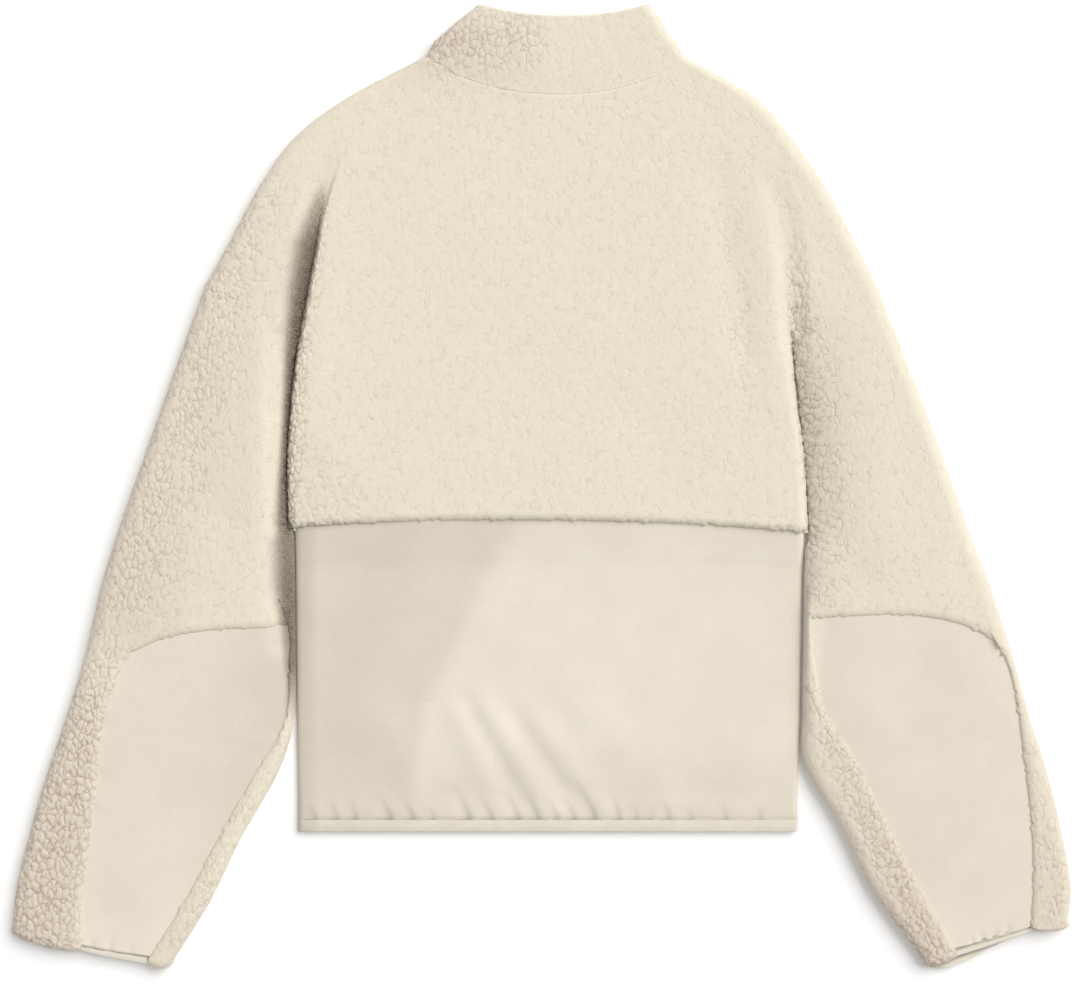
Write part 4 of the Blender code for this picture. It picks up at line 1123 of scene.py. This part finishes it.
def armhole_heights(side, points, distances, length):
    """Height of the back where a sleeve's row lies, at distances from its outer edge."""
    row = SHOULDER_ROWS[-1]
    shares, depth = GROOVE_LEFT, row.depth_left
    if side is RIGHT:
        shares, depth = GROOVE_RIGHT, row.depth_right
    flat = np.sin(turn_at(distances, row.fold))
    heights = SEAM_Z + (row.top_z - SEAM_Z + fold_heights(points, YOKE_FOLDS)) * flat
    return heights - groove_depth(distances - length, row.groove, shares, depth)


def shell_row(path, length, seams, edges, row, folds):
    """A row of the forearm panel, its sides carried a little way under the pile."""
    distances = np.linspace(seams[0] - TUCK, seams[1] + TUCK, PANEL_ROW_POINTS)
    points = layer(path, distances, edges, SEAM_Z, row.top_z - FOREARM_PANEL_DROP)
    lift = fold_heights(points, folds) * flat_share(distances, length, edges)
    points[:, 2] += PANEL_FOLD_SHARE * lift
    return points


def tucked(sheet):
    """The sheet with its first edge carried on under the piece above it."""
    first = sheet.points[0]
    run = first - sheet.points[TUCK_ROWS]
    run[:, 2] = 0
    run /= np.maximum(np.linalg.norm(run, axis=1), TINY)[:, None]
    lower = (first[:, 2:] - SEAM_Z) * TUCK_SHARE
    under = first + run * TUCK - np.pad(lower, ((0, 0), (2, 0)))
    points = np.concatenate([under[None], sheet.points])
    cells = np.concatenate([sheet.cells[:1], sheet.cells])
    return sheet._replace(points=points, cells=cells)


def sleeve(side, pile, cut):
    sheet = tucked(pile)
    rest = stretched(sheet.points)
    sheet = rounded(sheet, [(line, PANEL_EDGE) for line in cut])
    return make_piece(f"sherpa_sleeve_{side.name}", ragged(sheet, cut), rest, SKIRT)


def forearm_panel(side, shell):
    run = shell[0] - shell[TUCK_ROWS]
    top = shell[0] + run * TUCK / np.linalg.norm(run, axis=1)[:, None]
    points = np.concatenate([top[None], shell])
    points[..., 2] += panel_heights(points, shell, side)
    sheet = whole_sheet(points, side.sense)
    return make_piece(f"woven_forearm_panel_{side.name}", sheet, points)


def panel_heights(points, shell, side):
    """Small dimples where the panel's seams and the cuff's draw its cloth in."""
    total = np.zeros(points.shape[:2])
    flat = points.reshape(-1, 3)
    seams = (shell[:, 0, :2], shell[:, -1, :2], shell[-1, :, :2])
    for seam, dimples in zip(seams, PANEL_DIMPLES[side.name]):
        for share, reach, width, depth in dimples:
            foot = along(seam, np.array([share * length_of(seam)]))[0]
            away = np.linalg.norm(flat[:, :2] - foot, axis=1)
            off = nearest_on(flat[:, :2], seam[::SEAM_STEP])[2]
            beside = np.sqrt(np.maximum(away**2 - off**2, 0))
            dip = np.exp(-((beside / width) ** 2) - (off / reach) ** 2)
            total -= depth * dip.reshape(total.shape)
    return total


def set_in(path, inset):
    """Even points along a path that starts and ends an inset further in."""
    marks = path_marks(path)
    return along(path, np.linspace(inset, marks[-1] - inset, CUFF_COLUMNS))


def cuff_binding(side, table, cuff):
    """A narrow band that carries on from the sleeve's last row, set in under the pile."""
    down = cuff_direction(table)
    widen = np.linspace(*CUFF_WIDEN, CUFF_COLUMNS)[:, None]
    folds = (CUFF_BINDING_FOLD, CUFF_BINDING_FOLD)
    sides = []
    for distance in np.linspace(-TUCK, CUFF_BINDING_WIDTH, CUFF_RINGS):
        share = max(distance, 0) / CUFF_BINDING_WIDTH
        bulge = CUFF_BINDING_BULGE * np.sin(np.pi * share)
        paths = [set_in(line[:, :2], CUFF_INSET) + down * distance * widen for line in cuff]
        over, under = [(path, path_marks(path)) for path in paths]
        heights = (CUFF_BINDING_TOP + bulge, CUFF_BINDING_UNDER - bulge)
        sides.append(ring_points(over, under, folds, SEAM_Z, *heights, BINDING_WALL))
    points = with_rim(sides, np.array([down[0], down[1], 0]), CUFF_RIM)
    sheet = whole_sheet(points, side.sense, True)
    return make_piece(f"cuff_binding_tape_{side.name}", sheet, points)


# ---- curls and cloth ----


class Tree:
    """Adds nodes to a tree of geometry or of a material, which share the pattern's nodes."""

    def __init__(self, tree):
        self.nodes = tree.nodes
        self.links = tree.links

    def put(self, kind, inputs=None, **settings):
        """A node with these settings, its inputs linked to sockets or set to values."""
        node = self.nodes.new(kind)
        for key, value in settings.items():
            setattr(node, key, value)
        for key, value in (inputs or {}).items():
            if isinstance(value, bpy.types.NodeSocket):
                self.links.new(value, node.inputs[key])
            else:
                node.inputs[key].default_value = value
        return node

    def sum(self, operation, a, b=0.0, c=0.0):
        return self.put("ShaderNodeMath", {0: a, 1: b, 2: c}, operation=operation).outputs[0]

    def vector(self, operation, a, b):
        return self.put("ShaderNodeVectorMath", {0: a, 1: b}, operation=operation).outputs[0]

    def times(self, a, factor):
        inputs = {0: a, "Scale": factor}
        return self.put("ShaderNodeVectorMath", inputs, operation="SCALE").outputs[0]

    def noise(self, at, size, detail, roughness=0.5, output=0):
        inputs = {"Vector": at, "Scale": 1 / size, "Detail": detail, "Roughness": roughness}
        return self.put("ShaderNodeTexNoise", inputs, noise_dimensions="3D").outputs[output]

    def cells(self, at, size, feature, output):
        inputs = {"Vector": at, "Scale": 1 / size}
        return self.put("ShaderNodeTexVoronoi", inputs, feature=feature).outputs[output]

    def span(self, value, low, high, to_low=0.0, to_high=1.0, smooth=True):
        inputs = {"Value": value, 1: low, 2: high, 3: to_low, 4: to_high}
        kind = "SMOOTHSTEP" if smooth else "LINEAR"
        return self.put("ShaderNodeMapRange", inputs, interpolation_type=kind).outputs[0]

    def mix(self, factor, a, b, blend="MIX"):
        """Two colours mixed, each a socket or three numbers."""
        inputs = {0: factor}
        for key, colour in ((6, a), (7, b)):
            inputs[key] = (*colour, 1) if isinstance(colour, tuple) else colour
        return self.put("ShaderNodeMix", inputs, data_type="RGBA", blend_type=blend).outputs[2]

    def carried(self, name, output="Fac"):
        """What a mesh carries at its points, in a material."""
        return self.put("ShaderNodeAttribute", attribute_name=name).outputs[output]

    def named(self, name, kind="FLOAT"):
        """The same in geometry nodes."""
        node = self.put("GeometryNodeInputNamedAttribute", {"Name": name}, data_type=kind)
        return node.outputs["Attribute"]

    def dress(self, surface, colour, height, strength, depth):
        """Gives a surface its colour and its bumps."""
        self.links.new(colour, surface.inputs["Base Color"])
        inputs = {"Height": height, "Strength": strength, "Distance": depth * MM}
        self.links.new(self.put("ShaderNodeBump", inputs).outputs[0], surface.inputs["Normal"])


def curl_pattern(tree, rest, loft):
    """How deep the pile is and how narrow the crevices, from 0 to 1, and a colour for each curl."""
    bent = rest
    for noise, amount in CURL_BENDS:
        turned = tree.vector("SUBTRACT", tree.noise(rest, *noise, output=1), (0.5,) * 3)
        bent = tree.vector("ADD", bent, tree.times(turned, amount))
    edge = tree.cells(bent, CURL_SIZE, "DISTANCE_TO_EDGE", "Distance")
    cell = tree.cells(bent, CURL_SIZE, "F1", "Color")
    patchy = tree.sum("MULTIPLY_ADD", loft, PATCH_LOFT, tree.noise(rest, *PATCH_NOISE))
    breaks = tree.span(tree.noise(rest, *CREVICE_NOISE), *CREVICE_SPAN)
    kept = tree.sum("MULTIPLY", tree.span(patchy, *PATCH_SPAN), breaks)
    crevices = [
        tree.sum("MULTIPLY", tree.span(edge, 0.0, bank, 1.0, 0.0), kept)
        for bank in (CURL_BANK, CREVICE_BANK)
    ]
    return crevices, cell


def curl_group():
    """Moves each point outwards by the curls' relief, never below the floor."""
    group = bpy.data.node_groups.new("curls", "GeometryNodeTree")
    for way in ("INPUT", "OUTPUT"):
        group.interface.new_socket("Geometry", in_out=way, socket_type="NodeSocketGeometry")
    tree = Tree(group)
    loft = tree.named("loft")
    (hollow, _), cell = curl_pattern(tree, tree.named("rest", "FLOAT_VECTOR"), loft)
    lift = tree.sum("MULTIPLY_ADD", hollow, -CURL_DEPTH * MM, CURL_DEPTH * (1 - CURL_TIP) * MM)
    apart = tree.put("FunctionNodeSeparateColor", {0: cell}).outputs[0]
    lift = tree.sum("MULTIPLY_ADD", apart, CURL_UNEVEN * MM, lift)
    lift = tree.sum("MULTIPLY", lift, loft)
    # The mask of the painted valley shade also swells the curls there
    lift = tree.sum("MULTIPLY_ADD", tree.named("painted_valley_shade_and_swell"), VALLEY_SHADE_SWELL * MM, lift)
    shift = tree.times(tree.named("outwards", "FLOAT_VECTOR"), lift)
    moved = tree.vector("ADD", tree.put("GeometryNodeInputPosition").outputs[0], shift)
    kept = tree.vector("MAXIMUM", moved, (-FAR, -FAR, FLOOR_CLEARANCE * MM))
    inputs = {"Geometry": tree.put("NodeGroupInput").outputs[0], "Position": kept}
    placed = tree.put("GeometryNodeSetPosition", inputs).outputs[0]
    tree.put("NodeGroupOutput", {0: placed})
    return group


def curled(piece, group):
    """Gives a piece the curls as relief in its own mesh."""
    piece.modifiers.new("curls", "NODES").node_group = group
    depsgraph = bpy.context.evaluated_depsgraph_get()
    kept = bpy.data.meshes.new_from_object(piece.evaluated_get(depsgraph), depsgraph=depsgraph)
    piece.modifiers.clear()
    piece.data = kept


def material(name, settings):
    """A material with these settings on its surface, and its tree and that surface."""
    made = bpy.data.materials.new(name)
    made.use_nodes = True
    surface = made.node_tree.nodes["Principled BSDF"]
    for key, value in settings.items():
        surface.inputs[key].default_value = value
    return made, Tree(made.node_tree), surface


def sherpa_material():
    made, tree, surface = material("sherpa_pile", PILE_SURFACE)
    rest, loft = tree.carried("rest", "Vector"), tree.carried("loft")
    (_, crevice), cell = curl_pattern(tree, rest, loft)
    loops = tree.span(tree.cells(rest, LOOP_SIZE, "DISTANCE_TO_EDGE", "Distance"), *LOOP_SPAN)
    tint = tree.put("ShaderNodeSeparateColor", {0: cell}).outputs[0]
    pile = tree.mix(tint, PILE_DARK, PILE_LIGHT)
    broad = tree.noise(rest, *PILE_BROAD_NOISE)
    pile = tree.mix(tree.span(broad, *BROAD_SPAN, *PILE_BROAD_SHARES), pile, PILE_BROAD)
    # Painted shade, duller and rosier, where the pile is turned from the light
    pile = tree.mix(tree.carried("painted_rosy_shade"), pile, PILE_ROSY_SHADE_COLOUR)
    # Painted shade in the valleys beside the body, a little less on the pile's loops
    beads = tree.sum("MULTIPLY_ADD", loops, -VALLEY_SHADE_BEADS, 1.0)
    pile = tree.mix(tree.sum("MULTIPLY", tree.carried("painted_valley_shade_and_swell"), beads), pile, PILE_VALLEY_SHADE_COLOUR)
    # Painted shade in the crevices between the curls, stronger where they stand up
    shade = tree.span(loft, *LOFT_SPAN, *CREVICE_SHADES, smooth=False)
    pile = tree.mix(tree.sum("MULTIPLY", crevice, shade), pile, PILE_CREVICE_SHADE_COLOUR, "MULTIPLY")
    fuzz = tree.sum("MULTIPLY", tree.noise(rest, *FUZZ_NOISE), FUZZ_BUMP)
    height = tree.sum("MULTIPLY_ADD", loops, LOOP_BUMP, fuzz)
    height = tree.sum("MULTIPLY_ADD", crevice, CREVICE_BUMP, height)
    share = tree.span(loft, *LOFT_SPAN, *BUMP_SHARES, smooth=False)
    tree.dress(surface, pile, tree.sum("MULTIPLY", height, share), *PILE_BUMP)
    return made


def woven_material():
    made, tree, surface = material("woven_shell", WOVEN_SURFACE)
    rest = tree.carried("rest", "Vector")
    broad = tree.span(tree.noise(rest, *WOVEN_BROAD_NOISE), *BROAD_SPAN)
    thread = tree.noise(tree.vector("MULTIPLY", rest, THREAD_STRETCH), *THREAD_NOISE)
    colour = tree.mix(broad, WOVEN_DARK, WOVEN_LIGHT)
    colour = tree.mix(tree.span(thread, *THREAD_SPAN), colour, WOVEN_THREAD)
    # Painted shade in the creases, beside the pile, along seams and where the cloth is turned from
    # the light
    colour = tree.mix(tree.carried("painted_cloth_shade"), colour, CLOTH_SHADE_COLOUR)
    parts = tree.put("ShaderNodeSeparateXYZ", {0: rest}).outputs
    turns = [tree.sum("MULTIPLY", parts[k], 2 * np.pi / WEAVE_PITCH) for k in (0, 1)]
    weave = tree.sum("MULTIPLY", *(tree.sum("SINE", turn) for turn in turns))
    uneven = tree.noise(rest, *WOVEN_UNEVEN_NOISE)
    height = tree.sum("MULTIPLY_ADD", weave, WEAVE_HEIGHT, uneven)
    tree.dress(surface, colour, height, *WOVEN_BUMP)
    return made


def binding_material():
    made, tree, surface = material("elastic_binding", BINDING_SURFACE)
    rest = tree.carried("rest", "Vector")
    broad = tree.span(tree.noise(rest, *BINDING_BROAD_NOISE), *BROAD_SPAN)
    colour = tree.mix(broad, BINDING_DARK, BINDING_LIGHT)
    # Painted shade along the binding's seams and creases
    colour = tree.mix(tree.carried("painted_cloth_shade"), colour, CLOTH_SHADE_COLOUR)
    rib = tree.noise(tree.vector("MULTIPLY", rest, RIB_STRETCH), *RIB_NOISE)
    tree.dress(surface, colour, rib, *BINDING_BUMP)
    return made


# ---- the studio ----


def floor():
    mesh = bpy.data.meshes.new("floor")
    half, z = FLOOR_HALF, -FLOOR_CLEARANCE * MM
    corners = [(-half, -half, z), (half, -half, z), (half, half, z), (-half, half, z)]
    mesh.from_pydata(corners, [], [(0, 1, 2, 3)])
    piece = bpy.data.objects.new("floor", mesh)
    made, tree, surface = material("floor_paper", FLOOR_SURFACE)
    grain = tree.noise(tree.put("ShaderNodeTexCoord").outputs["Object"], *FLOOR_NOISE)
    colour = tree.mix(tree.span(grain, *BROAD_SPAN), *FLOOR_COLOURS)
    tree.links.new(colour, surface.inputs["Base Color"])
    mesh.materials.append(made)
    bpy.context.scene.collection.objects.link(piece)


def light():
    scene = bpy.context.scene
    world = bpy.data.worlds.new("studio")
    world.use_nodes = True
    back = world.node_tree.nodes["Background"]
    back.inputs["Color"].default_value = (*SKY_COLOUR, 1)
    back.inputs["Strength"].default_value = SKY_STRENGTH
    scene.world = world
    sun = bpy.data.lights.new("key", "SUN")
    sun.energy = KEY_STRENGTH
    sun.angle = np.radians(KEY_ANGLE)
    sun.color = KEY_COLOUR
    lamp = bpy.data.objects.new("key", sun)
    lamp.rotation_euler = (0, np.radians(KEY_TILT), np.radians(KEY_TURN))
    scene.collection.objects.link(lamp)
    scene.view_settings.view_transform = "Standard"


def camera():
    lens = bpy.data.cameras.new("camera")
    lens.lens = LENS
    lens.sensor_width = SENSOR
    lens.clip_end = VIEW_END
    eye = bpy.data.objects.new("camera", lens)
    eye.location = (*EYE_PLAN, PICTURE_WIDTH * LENS / SENSOR)
    bpy.context.scene.collection.objects.link(eye)
    bpy.context.scene.camera = eye


# ---- all of it ----

low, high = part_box("hem_binding")
# The frame's origin in the tables
CENTRE = np.array([HEM_MIDDLE_X - (low.x + high.x) / 2 / MM, HEM_FOOT_Y - low.y / MM, 0])

sleeves = {}
for side, table, folds in (
    (LEFT, LEFT_SLEEVE_ROWS, LEFT_SLEEVE_FOLDS),
    (RIGHT, RIGHT_SLEEVE_ROWS, RIGHT_SLEEVE_FOLDS),
):
    pile, cut, shell, cuff = sleeve_parts(side, table, folds)
    sleeves[side.name] = (
        sleeve(side, pile, cut),
        forearm_panel(side, shell),
        cuff_binding(side, table, cuff),
    )

SHERPA = (
    ("back_yoke", yoke(), (0.541, 0.372), 0.1422, ["front_upper"]),
    ("front_upper", front_upper(), (0.536, 0.372), 0.1418, []),
    ("collar", collar(), (0.425, 0.078), None, ["back_yoke", "front_upper"]),
    ("sleeve_left", sleeves["left"][0], (0.357, 0.522), 0.1097, ["back_yoke"]),
    ("sleeve_right", sleeves["right"][0], (0.367, 0.524), 0.1039, ["back_yoke"]),
)
WOVEN = (
    ("back_lower", back_lower(), (0.396, 0.233), 0.0905, ["front_lower"]),
    ("front_lower", front_lower(), (0.396, 0.233), 0.0904, []),
    ("forearm_panel_left", sleeves["left"][1], (0.139, 0.282), 0.0265, ["sleeve_left"]),
    ("forearm_panel_right", sleeves["right"][1], (0.157, 0.251), 0.0293, ["sleeve_right"]),
)
BINDING = (
    ("hem_binding", hem_binding(), (0.777, 0.021), None, ["back_lower", "front_lower"]),
    ("cuff_binding_left", sleeves["left"][2], (0.243, 0.018), None, ["sleeve_left"]),
    ("cuff_binding_right", sleeves["right"][2], (0.221, 0.018), None, ["sleeve_right"]),
)

group = curl_group()
for pieces, slot, cloth in (
    (SHERPA, "sherpa_pile", sherpa_material()),
    (WOVEN, "woven_shell", woven_material()),
    (BINDING, "elastic_binding", binding_material()),
):
    for node, piece, flat, area, rests_on in pieces:
        piece.data.materials.append(cloth)
        if slot == "sherpa_pile":
            add_streaks(piece, "loft", LOFTS, LOFT_POWER, LOFT_LEAST)
            # A mask of painted shade in the valleys beside the body, which also swells the curls
            add_streaks(piece, "painted_valley_shade_and_swell", PAINTED_VALLEY_SHADE, SHADE_POWER)
            # A mask of painted shade where the pile is turned from the light
            add_streaks(piece, "painted_rosy_shade", PAINTED_ROSY_SHADE, LOFT_POWER)
            curled(piece, group)
        else:
            # A mask of painted shade on the woven cloth and the bindings
            add_streaks(piece, "painted_cloth_shade", PAINTED_CLOTH_SHADE, SHADE_POWER)
        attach(piece, "root")
        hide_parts(node)

floor()
light()
camera()
